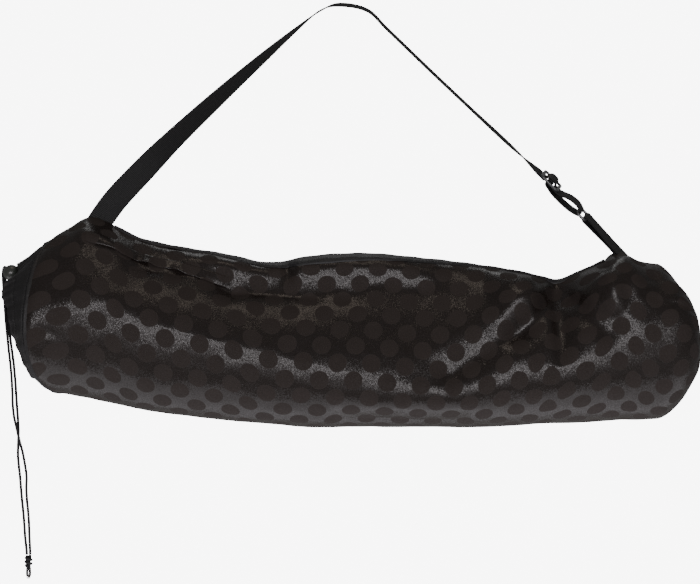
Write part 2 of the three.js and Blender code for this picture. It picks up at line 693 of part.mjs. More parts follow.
function cordLock() {
  let ball = solidOf(new THREE.SphereGeometry(lockRadius, lockSides, lockRings));
  for (const exit of [frontExit, backExit]) {
    const radius = cordDiameter / 2 + lockBorePlay;
    const bore = new THREE.CylinderGeometry(radius, radius, 2 * lockBoreDepth, cordSides);
    bore.applyQuaternion(new THREE.Quaternion().setFromUnitVectors(new THREE.Vector3(0, 1, 0), exit));
    bore.translate(...exit.clone().multiplyScalar(lockRadius).toArray());
    ball = ball.subtract(solidOf(bore));
  }
  const mesh = piece('cord_lock', geometryOf(ball), materials.plastic);
  mesh.position.copy(lockAt);
  return mesh;
}

function strand(name, exit, points) {
  const start = lockAt.clone().addScaledVector(exit, lockRadius - lockBoreDepth + pieceGap);
  const route = [start, ...points.map(([x, y, z]) => new THREE.Vector3(x, y, z))];
  const outline = Array.from({ length: cordSides }, (_, i) => {
    const angle = (i / cordSides) * 2 * Math.PI;
    return new THREE.Vector2(Math.cos(angle), Math.sin(angle)).multiplyScalar(cordDiameter / 2);
  });
  const geometry = new THREE.ExtrudeGeometry(new THREE.Shape(outline), {
    steps: strandSteps, extrudePath: new THREE.CatmullRomCurve3(route, false, 'centripetal'),
  });
  return piece(name, geometry, materials.cord);
}

function drawstringKnot() {
  const profile = [[0, 0], [0.8, 0], [1, -0.3], [0.98, -0.6], [0.75, -0.9]].map(([out, down]) => (
    new THREE.Vector2(out * knotRadius, down * knotHeight)
  ));
  profile.push(
    new THREE.Vector2(tailRadius, -knotHeight),
    new THREE.Vector2(tailRadius, -knotHeight - tailLength),
    new THREE.Vector2(0, -knotHeight - tailLength),
  );
  const geometry = new THREE.LatheGeometry(profile.reverse(), knotSides);
  geometry.rotateX(Math.PI / 2);
  const mesh = piece('drawstring_knot', geometry, materials.cord);
  mesh.position.copy(knotAt);
  return mesh;
}

const hardware = new THREE.Group();
hardware.position.copy(sliderAt);
hardware.rotation.set(sliderRoll, hardwareTilt, 0, 'YXZ');
const ring = strapRing();
ring.position.set(loopRun + ringPitch / 2, 0, loopOffset);
hardware.add(strapSlider(), ring);

const bag = new THREE.Group();
bag.add(
  bagBody(),
  mouthCasing(),
  endPanel(),
  pocketLip(),
  seamBinding(),
  shoulderStrap(),
  anchorLoop(),
  hardware,
  cordLock(),
  strand('drawstring_front', frontExit, frontStrand),
  strand('drawstring_back', backExit, backStrand),
  drawstringKnot(),
);

export default bag;
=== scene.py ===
"""Looks of the yoga mat bag: dotted satin tube, drawstring mouth, webbing strap and its hardware.

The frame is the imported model's: +X along the bag from its mouth to its closed end, +Y to the back,
+Z up, with the origin at the highest point of the strap. The classes hold their sizes in
millimetres and place their meshes in metres.
"""
from __future__ import annotations

import logging
import math
from abc import ABC, abstractmethod
from dataclasses import dataclass, field
from enum import Enum
from typing import Callable, Sequence

import bmesh
import bpy
import numpy as np
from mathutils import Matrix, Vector, noise

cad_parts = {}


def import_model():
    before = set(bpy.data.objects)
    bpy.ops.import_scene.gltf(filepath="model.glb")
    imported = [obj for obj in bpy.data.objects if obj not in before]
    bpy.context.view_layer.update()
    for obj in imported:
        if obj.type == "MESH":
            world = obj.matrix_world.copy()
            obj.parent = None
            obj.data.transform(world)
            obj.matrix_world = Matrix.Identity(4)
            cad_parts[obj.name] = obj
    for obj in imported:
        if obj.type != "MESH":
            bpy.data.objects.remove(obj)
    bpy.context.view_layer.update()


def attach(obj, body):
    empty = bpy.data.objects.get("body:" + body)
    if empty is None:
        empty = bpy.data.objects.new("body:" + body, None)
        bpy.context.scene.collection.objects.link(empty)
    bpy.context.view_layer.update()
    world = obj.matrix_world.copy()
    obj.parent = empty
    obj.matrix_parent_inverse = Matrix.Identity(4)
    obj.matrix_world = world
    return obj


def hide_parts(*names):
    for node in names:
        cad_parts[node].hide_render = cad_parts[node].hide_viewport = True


LOG = logging.getLogger("yoga_mat_bag")
MM = 0.001
GOLDEN_TURN = 2.399963
WELD = 2e-6
SLIVER = 1e-7

# Where the strap's two ends meet the top seam, as shares of the bag's length.
LEFT_END = 0.1378
RIGHT_END = 0.885


class Side(Enum):
    """A side of the bag."""

    FRONT = "front"
    BACK = "back"


class Crease(Enum):
    """How sharp a fold line is across its width."""

    SOFT = 2.0
    CRISP = 1.2


# The form of the cloth

SECTION_COLUMNS = (
    "place", "top", "bottom", "crest", "depth", "upper", "lower", "lean", "front", "back",
)
SECTIONS = (
    (0.048, 0.067, 0.79, 0.407, 0.667, 2, 2, 0.132, 0.14, 0.22),
    (0.075, -0.087, 0.802, 0.39, 0.84, 1.9, 2, 0.033, 0.16, 0.213),
    (0.097, -0.165, 0.814, 0.33, 0.9, 1.7, 2.1, 0.01, 0.07, 0.1),
    (0.1205, -0.215, 0.828, 0.28, 0.94, 1.55, 2.2, 0, 0.02, 0.03),
    (0.155, -0.1715, 0.858, 0.29, 0.97, 1.45, 2.2, 0, 0, 0),
    (0.195, -0.093, 0.895, 0.36, 1, 1.4, 2.3, 0, 0, 0),
    (0.2525, -0.041, 0.93, 0.43, 1, 1.38, 2.3, 0, 0, 0),
    (0.3175, 0, 0.957, 0.5, 0.98, 1.35, 2.3, 0, 0, 0),
    (0.382, 0.05, 0.982, 0.565, 0.97, 1.35, 2.3, 0, 0, 0),
    (0.447, 0.008, 0.998, 0.63, 0.96, 1.33, 2.3, 0, 0, 0),
    (0.5195, -0.005, 1, 0.69, 0.96, 1.33, 2.3, 0, 0, 0),
    (0.5916, 0.02, 1, 0.75, 0.96, 1.35, 2.3, 0, 0, 0),
    (0.664, 0.053, 1, 0.73, 0.98, 1.5, 2.2, 0, 0, 0),
    (0.7287, 0.092, 0.991, 0.67, 1.01, 1.85, 2.1, 0, 0, 0),
    (0.772, 0.128, 0.983, 0.645, 1.04, 1.6, 2.1, 0, 0, 0),
    (0.795, 0.15, 0.977, 0.635, 1.05, 1.25, 2.1, 0, 0, 0),
    (0.8225, 0.112, 0.972, 0.6, 1.04, 1.55, 2.1, 0, 0, 0),
    (0.8586, 0.047, 0.965, 0.55, 1.02, 1.85, 2.1, 0, 0, 0),
    (0.8874, -0.01, 0.96, 0.5, 1, 1.9, 2.1, 0, 0, 0),
    (0.916, 0.032, 0.959, 0.455, 0.98, 2, 2.1, 0, 0, 0),
    (0.9408, 0.05, 0.952, 0.43, 0.95, 2, 2.1, 0, 0, 0),
)
RIM_ROW = 0
SEAM_ROW = 1
END_ROW = len(SECTIONS) - 1


@dataclass(frozen=True)
class Fold:
    """A soft line where the cloth stands out or is dented, seen from one side.

    The ends are shares of the bag's length and height, width is a share of the height and rise a
    share of the depth, less than 0 for a dent.
    """

    side: Side
    from_place: float
    from_drop: float
    to_place: float
    to_drop: float
    width: float
    rise: float
    crease: Crease
    tapered: bool


def folds(
    side: Side, crease: Crease, tapered: bool, rows: Sequence[tuple[float, ...]]
) -> tuple[Fold, ...]:
    """Folds of one kind.

    Args:
        side: the side of the bag that they are on.
        crease: how sharp they are.
        tapered: whether they fade out at both ends.
        rows: place and drop of both ends, width and rise.

    Returns:
        One fold for each row.
    """
    return tuple(Fold(side, *row, crease, tapered) for row in rows)


MAIN_FOLDS = (
    *folds(Side.FRONT, Crease.SOFT, False, (
        (0.115, -0.12, 0.17, -0.02, 0.06, 0.03),
        (0.2, 0.03, 0.325, 0.185, 0.07, -0.022),
        (0.325, 0.185, 0.5, 0.215, 0.08, -0.03),
        (0.27, 0.07, 0.43, 0.11, 0.07, 0.025),
        (0.43, 0.11, 0.6, 0.1, 0.08, 0.028),
        (0.79, 0.17, 0.735, 0.42, 0.09, -0.05),
        (0.735, 0.42, 0.64, 0.66, 0.1, -0.04),
        (0.8, 0.19, 0.86, 0.43, 0.07, -0.03),
        (0.735, 0.28, 0.735, 0.32, 0.13, 0.03),
        (0.87, 0.22, 0.87, 0.28, 0.15, 0.03),
        (0.48, 0.935, 0.66, 0.935, 0.05, -0.025),
    )),
    *folds(Side.BACK, Crease.SOFT, False, (
        (0.15, 0.05, 0.3, 0.3, 0.09, -0.03),
        (0.3, 0.12, 0.55, 0.17, 0.08, -0.025),
        (0.79, 0.18, 0.7, 0.5, 0.1, -0.045),
        (0.86, 0.25, 0.9, 0.35, 0.14, 0.03),
    )),
)

# Smaller creases that only the dressed cloth has.
FINE_FOLDS = (
    *folds(Side.FRONT, Crease.CRISP, True, (
        (0.118, -0.1, 0.172, -0.005, 0.028, 0.012),
        (0.125, -0.06, 0.175, 0.03, 0.02, -0.012),
        (0.05, 0.42, 0.085, 0.46, 0.018, -0.01),
        (0.185, 0.06, 0.235, 0.09, 0.02, -0.016),
        (0.235, 0.085, 0.29, 0.12, 0.02, -0.016),
        (0.28, 0.11, 0.35, 0.195, 0.02, -0.024),
        (0.325, 0.18, 0.46, 0.215, 0.025, -0.028),
        (0.4, 0.04, 0.412, 0.15, 0.014, -0.026),
        (0.795, 0.16, 0.765, 0.29, 0.022, -0.026),
        (0.765, 0.29, 0.71, 0.5, 0.03, -0.024),
        (0.8, 0.17, 0.835, 0.3, 0.022, -0.02),
        (0.89, 0.13, 0.94, 0.16, 0.02, -0.008),
        (0.47, 0.955, 0.67, 0.96, 0.016, -0.014),
    )),
    *folds(Side.FRONT, Crease.SOFT, True, (
        (0.055, 0.47, 0.08, 0.49, 0.02, 0.006),
        (0.388, 0.06, 0.395, 0.13, 0.014, 0.008),
        (0.77, 0.19, 0.7, 0.4, 0.05, 0.03),
        (0.7, 0.5, 0.63, 0.72, 0.04, -0.01),
        (0.85, 0.14, 0.88, 0.33, 0.06, 0.03),
        (0.835, 0.3, 0.9, 0.42, 0.03, -0.01),
        (0.9, 0.2, 0.955, 0.3, 0.025, -0.008),
        (0.3, 0.935, 0.5, 0.955, 0.014, 0.006),
    )),
    *folds(Side.BACK, Crease.CRISP, True, (
        (0.3, 0.2, 0.42, 0.33, 0.03, -0.012),
        (0.79, 0.17, 0.73, 0.4, 0.025, -0.012),
    )),
    *folds(Side.BACK, Crease.SOFT, True, (
        (0.6, 0.3, 0.68, 0.55, 0.04, -0.014),
        (0.08, 0.3, 0.18, 0.42, 0.04, -0.012),
    )),
)

# The cloth stands forward in a soft roll under the top seam: a share of the bag's length, how far
# forward, and how far below the seam the roll ends, both in millimetres.
TOP_ROLL = (
    (0.216, 0.0, 18.0), (0.267, 8.0, 20.0), (0.332, 12.0, 24.0), (0.397, 10.0, 22.0),
    (0.41, 4.0, 20.0), (0.421, 12.0, 27.0), (0.462, 17.0, 34.0), (0.505, 18.0, 37.0),
    (0.577, 17.0, 37.0), (0.635, 8.0, 36.0), (0.69, 4.0, 42.0), (0.725, 15.0, 52.0),
    (0.755, 19.0, 52.0), (0.775, 9.0, 44.0), (0.79, 0.0, 40.0), (0.81, 2.0, 46.0),
    (0.835, 15.0, 58.0), (0.868, 25.0, 64.0), (0.9, 17.0, 60.0), (0.93, 0.0, 50.0),
)


@dataclass(frozen=True)
class Shaping:
    """What shapes the cloth beyond its sections."""

    folds: tuple[Fold, ...]
    roll: tuple[tuple[float, float, float], ...] = ()


PLAIN = Shaping(MAIN_FOLDS)
DRESSED = Shaping(MAIN_FOLDS + FINE_FOLDS, TOP_ROLL)


def smooth_between(share: np.ndarray, values: Sequence[np.ndarray]) -> np.ndarray:
    """Value of a smooth curve through four evenly spaced values.

    Args:
        share: how far from the second value to the third, 0 to 1.
        values: the four values.

    Returns:
        The curve's value at each share.
    """
    before, start, stop, after = values
    leave = (stop - before) / 2
    arrive = (after - start) / 2
    t2 = share * share
    t3 = t2 * share
    return (
        (2 * t3 - 3 * t2 + 1) * start
        + (t3 - 2 * t2 + share) * leave
        + (3 * t2 - 2 * t3) * stop
        + (t3 - t2) * arrive
    )


@dataclass(frozen=True)
class ClothForm:
    """The outer face of the bag, as a point for each row number and angle.

    Rows run from the mouth's rim to the end panel's seam. The angle is 0 at the top seam and turns
    towards the front. Sizes are in millimetres, and mouth_sag is a share.
    """

    length: float = 693.0
    height: float = 172.0
    depth: float = 150.0
    strap_drop: float = 251.0
    mouth_setback: float = 335.0
    mouth_sag: float = 0.3
    gather_depth: float = 2.2
    gather_count: int = 8
    gather_fade: float = 2.5
    roll_start: float = 5.0
    row_samples: int = 4001
    girth_steps: int = 40
    halvings: int = 40
    normal_step: float = 0.03
    table: np.ndarray = field(default_factory=lambda: np.array(SECTIONS, dtype=float))

    def station(self, place: np.ndarray) -> np.ndarray:
        """X of a share of the length."""
        return place * self.length - self.mouth_setback

    def level(self, drop: np.ndarray) -> np.ndarray:
        """Z of a share of the height below the seam line."""
        return -self.strap_drop - drop * self.height

    def section(self, rows: np.ndarray) -> dict[str, np.ndarray]:
        """The section's columns at row numbers.

        Args:
            rows: row numbers, which may lie between two rows.

        Returns:
            One array for each column.
        """
        first = np.clip(np.floor(rows).astype(int), 0, END_ROW - 1)
        near = [self.table[np.clip(first + step, 0, END_ROW)] for step in (-1, 0, 1, 2)]
        share = (rows - first)[..., None]
        blended = smooth_between(share, near)
        return {name: blended[..., i] for i, name in enumerate(SECTION_COLUMNS)}

    def row_at(self, place: np.ndarray) -> np.ndarray:
        """Row number of shares of the length."""
        rows = np.linspace(RIM_ROW, END_ROW, self.row_samples)
        return np.interp(place, self.section(rows)["place"], rows)

    def fold_rise(
        self, folds: Sequence[Fold], side: Side, x: np.ndarray, z: np.ndarray
    ) -> np.ndarray:
        """How far folds push the cloth out, in millimetres.

        Args:
            folds: the folds to add up.
            side: the side of the bag that the points are on.
            x: stations of the points.
            z: levels of the points.

        Returns:
            The rise at each point.
        """
        rise = np.zeros_like(x)
        for fold in folds:
            if fold.side is not side:
                continue
            start = np.array([self.station(fold.from_place), self.level(fold.from_drop)])
            stop = np.array([self.station(fold.to_place), self.level(fold.to_drop)])
            along = stop - start
            share = ((x - start[0]) * along[0] + (z - start[1]) * along[1]) / (along @ along)
            held = np.clip(share, 0, 1)
            apart = np.hypot(x - start[0] - held * along[0], z - start[1] - held * along[1])
            apart = apart / (fold.width * self.height)
            lift = fold.rise * self.depth * np.exp(-(apart ** fold.crease.value))
            if fold.tapered:
                lift = lift * np.clip(4 * held * (1 - held), 0.0, 1.0) ** 0.5
            rise += lift
        return rise

    def points(
        self, rows: np.ndarray, angles: np.ndarray, shaping: Shaping = PLAIN
    ) -> np.ndarray:
        """Points of the cloth's outer face.

        Args:
            rows: row numbers.
            angles: angles round the bag, of the same shape as rows or one that broadcasts.
            shaping: what shapes the cloth.

        Returns:
            Points in millimetres, with a last axis of three.
        """
        rows, angles = np.broadcast_arrays(np.asarray(rows, float), np.asarray(angles, float))
        part = self.section(rows)
        cosine, sine = np.cos(angles), np.sin(angles)
        above = cosine > 0
        power = 2 / np.where(above, part["upper"], part["lower"])
        high = np.sign(cosine) * np.abs(cosine) ** power
        wide = np.abs(sine) ** power
        span = np.where(above, part["crest"] - part["top"], part["bottom"] - part["crest"])
        reach = np.where(sine > 0, part["front"], part["back"])
        x = self.station(part["place"]) - self.depth * (
            part["lean"] * high + reach * wide * (1 - self.mouth_sag * high)
        )
        y = -np.sign(sine) * wide * part["depth"] * self.depth / 2
        z = self.level(part["crest"] - high * span)
        out_y, out_z = y, z - self.level(part["crest"])
        size = np.maximum(np.hypot(out_y, out_z), 1e-9)
        gather = (
            self.gather_depth
            * np.exp(-self.gather_fade * np.maximum(rows, 0))
            * np.cos(self.gather_count * angles)
        )
        fold = np.where(
            sine > 0,
            self.fold_rise(shaping.folds, Side.FRONT, x, z),
            self.fold_rise(shaping.folds, Side.BACK, x, z),
        ) * np.minimum(1, 2 * wide)
        push = (gather + fold) / size
        if shaping.roll:
            forward = self.roll_forward(shaping, part, self.level(part["top"]) - z)
            y = y - np.where(sine > 0, forward, 0.0)
        return np.stack([x, y + out_y * push, z + out_z * push], axis=-1)

    def roll_forward(
        self, shaping: Shaping, part: dict[str, np.ndarray], below: np.ndarray
    ) -> np.ndarray:
        """How far the roll under the top seam carries the cloth forward, in millimetres.

        Args:
            shaping: what shapes the cloth, with a roll.
            part: the section's columns at each point.
            below: how far each point is below the top seam.

        Returns:
            The reach at each point, which starts and ends smoothly.
        """
        place, reach, drop = np.array(shaping.roll).T
        end = np.interp(part["place"], place, drop)
        gone = np.clip((below - self.roll_start) / (end - self.roll_start), 0, 1)
        fall = 0.5 + 0.5 * np.cos(math.pi * gone)
        begun = np.clip(below / self.roll_start, 0, 1)
        return np.interp(part["place"], place, reach) * fall * begun ** 2 * (3 - 2 * begun)

    def normals(
        self, rows: np.ndarray, angles: np.ndarray, shaping: Shaping = PLAIN
    ) -> np.ndarray:
        """Outward directions of the cloth.

        Args:
            rows: row numbers.
            angles: angles round the bag.
            shaping: what shapes the cloth.

        Returns:
            Unit vectors, with a last axis of three.
        """
        step = self.normal_step
        ahead, behind = (self.points(rows + s, angles, shaping) for s in (step, -step))
        along = ahead - behind
        further, nearer = (self.points(rows, angles + s, shaping) for s in (step, -step))
        turn = further - nearer
        normal = np.cross(turn, along)
        normal /= np.maximum(np.linalg.norm(normal, axis=-1, keepdims=True), 1e-9)
        here = self.points(rows, angles, shaping)
        middle = self.level(self.section(np.broadcast_to(rows, here.shape[:-1]))["crest"])
        outward = np.stack([np.zeros_like(middle), here[..., 1], here[..., 2] - middle], axis=-1)
        flipped = np.sum(normal * outward, axis=-1, keepdims=True) < 0
        return np.where(flipped, -normal, normal)

    def girths(self, rows: np.ndarray, angles: np.ndarray) -> np.ndarray:
        """Lengths round the smooth form from the first angle of each row.

        Args:
            rows: row numbers of a grid of points.
            angles: angles of the points.

        Returns:
            Lengths in millimetres, of the grid's shape.
        """
        steps = np.linalg.norm(np.diff(self.points(rows, angles), axis=1), axis=-1)
        return np.concatenate([np.zeros((len(steps), 1)), np.cumsum(steps, axis=1)], axis=1)

    def girth_to(self, rows: np.ndarray, angles: np.ndarray) -> np.ndarray:
        """Length round the cloth from the top seam to an angle.

        Args:
            rows: row numbers, as a flat array.
            angles: the angle reached at each row.

        Returns:
            Lengths in millimetres.
        """
        turns = angles[:, None] * np.linspace(0, 1, self.girth_steps + 1)[None]
        return self.girths(rows[:, None], turns)[:, -1]

    def front_angle(self, rows: np.ndarray, levels: np.ndarray) -> np.ndarray:
        """Angles on the front above the crest where the cloth is at given levels.

        Args:
            rows: row numbers.
            levels: levels in millimetres.

        Returns:
            Angles between 0 and a quarter turn.
        """
        high = np.zeros_like(rows)
        low = np.full_like(rows, math.pi / 2)
        for _ in range(self.halvings):
            middle = (low + high) / 2
            above = self.points(rows, middle)[..., 2] > levels
            high = np.where(above, middle, high)
            low = np.where(above, low, middle)
        return (low + high) / 2


FORM = ClothForm()

# A point inside the bag, in metres.
BAG_MIDDLE = (0.0, 0.0, -0.35)


@dataclass(frozen=True)
class Ripple:
    """One layer of soft unevenness: its height and its size along each axis, in millimetres."""

    height: float
    size: tuple[float, float, float]
    shift: float = 0.0


def unevenness(points: np.ndarray, ripples: Sequence[Ripple]) -> np.ndarray:
    """Small unevenness of cloth over a soft filling.

    Args:
        points: points in millimetres, with a last axis of three.
        ripples: the layers to add up.

    Returns:
        The relief at each point, in millimetres.
    """
    total = np.zeros(points[..., 0].size)
    for ripple in ripples:
        scaled = points.reshape(-1, 3) / ripple.size + (ripple.shift, 0.0, 0.0)
        total += ripple.height * np.array([noise.noise(Vector(place)) for place in scaled])
    return total.reshape(points.shape[:-1])


# Building meshes

def surface(
    name: str,
    points: np.ndarray,
    flat: np.ndarray,
    round_closed: bool = False,
    long_closed: bool = False,
    capped: bool = False,
) -> bpy.types.Object:
    """A smooth surface made from a grid whose vertices are put on given points.

    Args:
        name: the piece's name.
        points: points in millimetres, of shape (long + 1, round + 1, 3).
        flat: place of each point on the cloth laid flat, in metres, for the UV map.
        round_closed: whether the second axis comes back to its start.
        long_closed: whether the first axis comes back to its start.
        capped: whether open ends are filled.

    Returns:
        The new object, in the scene.
    """
    long_steps, round_steps = points.shape[0] - 1, points.shape[1] - 1
    bm = bmesh.new()
    layer = bm.loops.layers.uv.new("UVMap")
    bmesh.ops.create_grid(
        bm, x_segments=long_steps, y_segments=round_steps, size=0.5, calc_uvs=True
    )
    for vert in bm.verts:
        i = round((vert.co.x + 0.5) * long_steps)
        j = round((vert.co.y + 0.5) * round_steps)
        vert.index = i * (round_steps + 1) + j
    for face in bm.faces:
        for loop in face.loops:
            i, j = divmod(loop.vert.index, round_steps + 1)
            loop[layer].uv = flat[i, j]
        face.smooth = True
    for vert in bm.verts:
        i, j = divmod(vert.index, round_steps + 1)
        vert.co = Vector(points[i, j]) * MM
    if round_closed or long_closed:
        bmesh.ops.remove_doubles(bm, verts=bm.verts, dist=WELD)
    if capped:
        bmesh.ops.holes_fill(bm, edges=[edge for edge in bm.edges if edge.is_boundary], sides=0)
    bmesh.ops.dissolve_degenerate(bm, dist=SLIVER, edges=bm.edges)
    bmesh.ops.recalc_face_normals(bm, faces=bm.faces)
    for edge in bm.edges:
        edge.smooth = not edge.is_boundary
    return to_object(name, bm)


def to_object(name: str, bm: bmesh.types.BMesh) -> bpy.types.Object:
    """Puts a bmesh in the scene as an object at the origin, and frees it.

    Args:
        name: the piece's name.
        bm: the bmesh, in metres.

    Returns:
        The new object.
    """
    mesh = bpy.data.meshes.new(name)
    bm.to_mesh(mesh)
    bm.free()
    piece = bpy.data.objects.new(name, mesh)
    bpy.context.scene.collection.objects.link(piece)
    return piece


def joined(name: str, parts: Sequence[bpy.types.Object]) -> bpy.types.Object:
    """Makes one object of several and removes them.

    Args:
        name: the new piece's name.
        parts: the objects to join, at the origin.

    Returns:
        The joined object.
    """
    bm = bmesh.new()
    for part in parts:
        bm.from_mesh(part.data)
        mesh = part.data
        bpy.data.objects.remove(part)
        bpy.data.meshes.remove(mesh)
    return to_object(name, bm)


def turned_outward(piece: bpy.types.Object, inside: Sequence[float]) -> None:
    """Flips an open shell whose faces point towards a point inside it.

    Args:
        piece: the shell.
        inside: a point inside the shell, in metres.
    """
    bm = bmesh.new()
    bm.from_mesh(piece.data)
    centre = Vector(inside)
    score = sum((face.calc_center_median() - centre).dot(face.normal) for face in bm.faces)
    if score < 0:
        bmesh.ops.reverse_faces(bm, faces=bm.faces)
        bm.to_mesh(piece.data)
    bm.free()


def walled(piece: bpy.types.Object, thickness: float) -> None:
    """Gives a shell a wall inwards.

    Args:
        piece: the shell, with its faces outwards.
        thickness: the wall's thickness in millimetres.
    """
    solidify = piece.modifiers.new("wall", "SOLIDIFY")
    solidify.thickness = thickness * MM
    solidify.offset = -1
    solidify.use_even_offset = False


def spline_through(points: np.ndarray, per_leg: int) -> np.ndarray:
    """A smooth line through points.

    Args:
        points: the points, of shape (count, size).
        per_leg: how many steps between two points.

    Returns:
        The line's points.
    """
    padded = np.vstack([2 * points[0] - points[1], points, 2 * points[-1] - points[-2]])
    steps = np.arange((len(points) - 1) * per_leg + 1)
    leg = np.minimum(steps // per_leg, len(points) - 2)
    share = (steps / per_leg - leg)[:, None]
    return smooth_between(share, [padded[leg + step] for step in range(4)])


def run_along(points: np.ndarray) -> np.ndarray:
    """Length from the first point to each point of a line."""
    steps = np.linalg.norm(np.diff(points, axis=0), axis=1)
    return np.concatenate([[0.0], np.cumsum(steps)])


def directions(points: np.ndarray) -> np.ndarray:
    """Unit directions of a line at its points."""
    along = np.gradient(points, axis=0)
    return along / np.linalg.norm(along, axis=1, keepdims=True)


def tube(
    name: str,
    line: np.ndarray,
    radius: Callable[[np.ndarray, np.ndarray], np.ndarray],
    sides: int,
    looped: bool = False,
) -> bpy.types.Object:
    """A tube along a line.

    Args:
        name: the piece's name.
        line: the centre line in millimetres.
        radius: the radius in millimetres for lengths along the line and angles round it.
        sides: how many faces the tube has round it.
        looped: whether the line's last point is its first.

    Returns:
        The new object.
    """
    along = directions(line)
    if looped:
        closing = line[1] - line[-2]
        along[0] = along[-1] = closing / np.linalg.norm(closing)
    side = np.zeros_like(line)
    first = np.cross(along[0], (0.0, 1.0, 0.0))
    if np.linalg.norm(first) < 0.1:
        first = np.cross(along[0], (1.0, 0.0, 0.0))
    side[0] = first / np.linalg.norm(first)
    for i in range(1, len(line)):
        carried = side[i - 1] - along[i] * (side[i - 1] @ along[i])
        side[i] = carried / np.linalg.norm(carried)
    other = np.cross(along, side)
    length = run_along(line)
    angles = np.linspace(0, 2 * math.pi, sides + 1)
    far, turn = np.meshgrid(length, angles, indexing="ij")
    out = side[:, None] * np.cos(turn)[..., None] + other[:, None] * np.sin(turn)[..., None]
    size = radius(far, turn)
    points = line[:, None] + out * size[..., None]
    flat = np.stack([far, turn * np.mean(size)], axis=-1) * MM
    return surface(
        name, points, flat, round_closed=True, long_closed=looped, capped=not looped
    )


def even(radius: float) -> Callable[[np.ndarray, np.ndarray], np.ndarray]:
    """A tube's radius that is the same everywhere, in millimetres."""
    return lambda far, turn: np.full_like(far, radius)


# Shader nodes

class NodeBench:
    """Adds and joins the nodes of one tree."""

    def __init__(self, tree: bpy.types.NodeTree) -> None:
        """Keeps the tree."""
        self.tree = tree

    def add(self, kind: str, **settings: object) -> bpy.types.Node:
        """A node with its settings.

        Args:
            kind: the node's type name.
            **settings: values for the node's properties.

        Returns:
            The node.
        """
        node = self.tree.nodes.new(kind)
        for name, value in settings.items():
            setattr(node, name, value)
        return node

    def feed(self, node: bpy.types.Node, **values: object) -> bpy.types.Node:
        """Joins or sets inputs of a node.

        Args:
            node: the node.
            **values: sockets or plain values by input name, with _ for a space.

        Returns:
            The same node.
        """
        for name, value in values.items():
            self.put(node.inputs[name.replace("_", " ")], value)
        return node

    def put(self, socket: bpy.types.NodeSocket, value: object) -> None:
        """Joins a socket to another, or sets its value."""
        if isinstance(value, bpy.types.NodeSocket):
            self.tree.links.new(value, socket)
        else:
            socket.default_value = value

    def math(self, operation: str, *values: object, clamp: bool = False) -> bpy.types.NodeSocket:
        """The result of a Math node.

        Args:
            operation: the Math node's operation.
            *values: sockets or numbers.
            clamp: whether the result is held between 0 and 1.

        Returns:
            The output socket.
        """
        node = self.add("ShaderNodeMath", operation=operation, use_clamp=clamp)
        for socket, value in zip(node.inputs, values):
            self.put(socket, value)
        return node.outputs[0]

    def vector(self, operation: str, *values: object) -> bpy.types.NodeSocket:
        """The vector result of a Vector Math node.

        Args:
            operation: the node's operation.
            *values: sockets or tuples of three.

        Returns:
            The output socket, which is a number for LENGTH and DOT_PRODUCT.
        """
        node = self.add("ShaderNodeVectorMath", operation=operation)
        for socket, value in zip(node.inputs, values):
            self.put(socket, value)
        single = operation in ("LENGTH", "DOT_PRODUCT", "DISTANCE")
        return node.outputs["Value" if single else "Vector"]

    def blend(self, share: object, low: object, high: object) -> bpy.types.NodeSocket:
        """Mixes two colours.

        Args:
            share: how much of the second, as a socket or number.
            low: the first colour.
            high: the second colour.

        Returns:
            The mixed colour's socket.
        """
        node = self.add("ShaderNodeMix", data_type="RGBA", clamp_factor=True)
        self.put(node.inputs[0], share)
        self.put(node.inputs[6], low)
        self.put(node.inputs[7], high)
        return node.outputs[2]

    def span(self, value: object, low: float, high: float) -> bpy.types.NodeSocket:
        """A value of 0 to 1 spread between two numbers."""
        node = self.add("ShaderNodeMapRange")
        self.feed(node, Value=value)
        self.put(node.inputs["To Min"], low)
        self.put(node.inputs["To Max"], high)
        return node.outputs[0]

    def bump(self, **values: object) -> bpy.types.NodeSocket:
        """The normal of a Bump node.

        Args:
            **values: the node's Strength, Distance and Height.

        Returns:
            The normal's socket.
        """
        return self.feed(self.add("ShaderNodeBump"), **values).outputs[0]


def effect_group(
    name: str, inputs: dict[str, tuple[str, object]], outputs: dict[str, str]
) -> tuple[bpy.types.NodeTree, NodeBench, bpy.types.Node, bpy.types.Node]:
    """An empty node group with named sockets.

    Args:
        name: the group's name.
        inputs: socket type and default by input name.
        outputs: socket type by output name.

    Returns:
        The group, its bench, and its input and output nodes.
    """
    group = bpy.data.node_groups.new(name, "ShaderNodeTree")
    for label, (kind, value) in inputs.items():
        socket = group.interface.new_socket(label, in_out="INPUT", socket_type=kind)
        if value is not None:
            socket.default_value = value
    for label, kind in outputs.items():
        group.interface.new_socket(label, in_out="OUTPUT", socket_type=kind)
    bench = NodeBench(group)
    return group, bench, bench.add("NodeGroupInput"), bench.add("NodeGroupOutput")


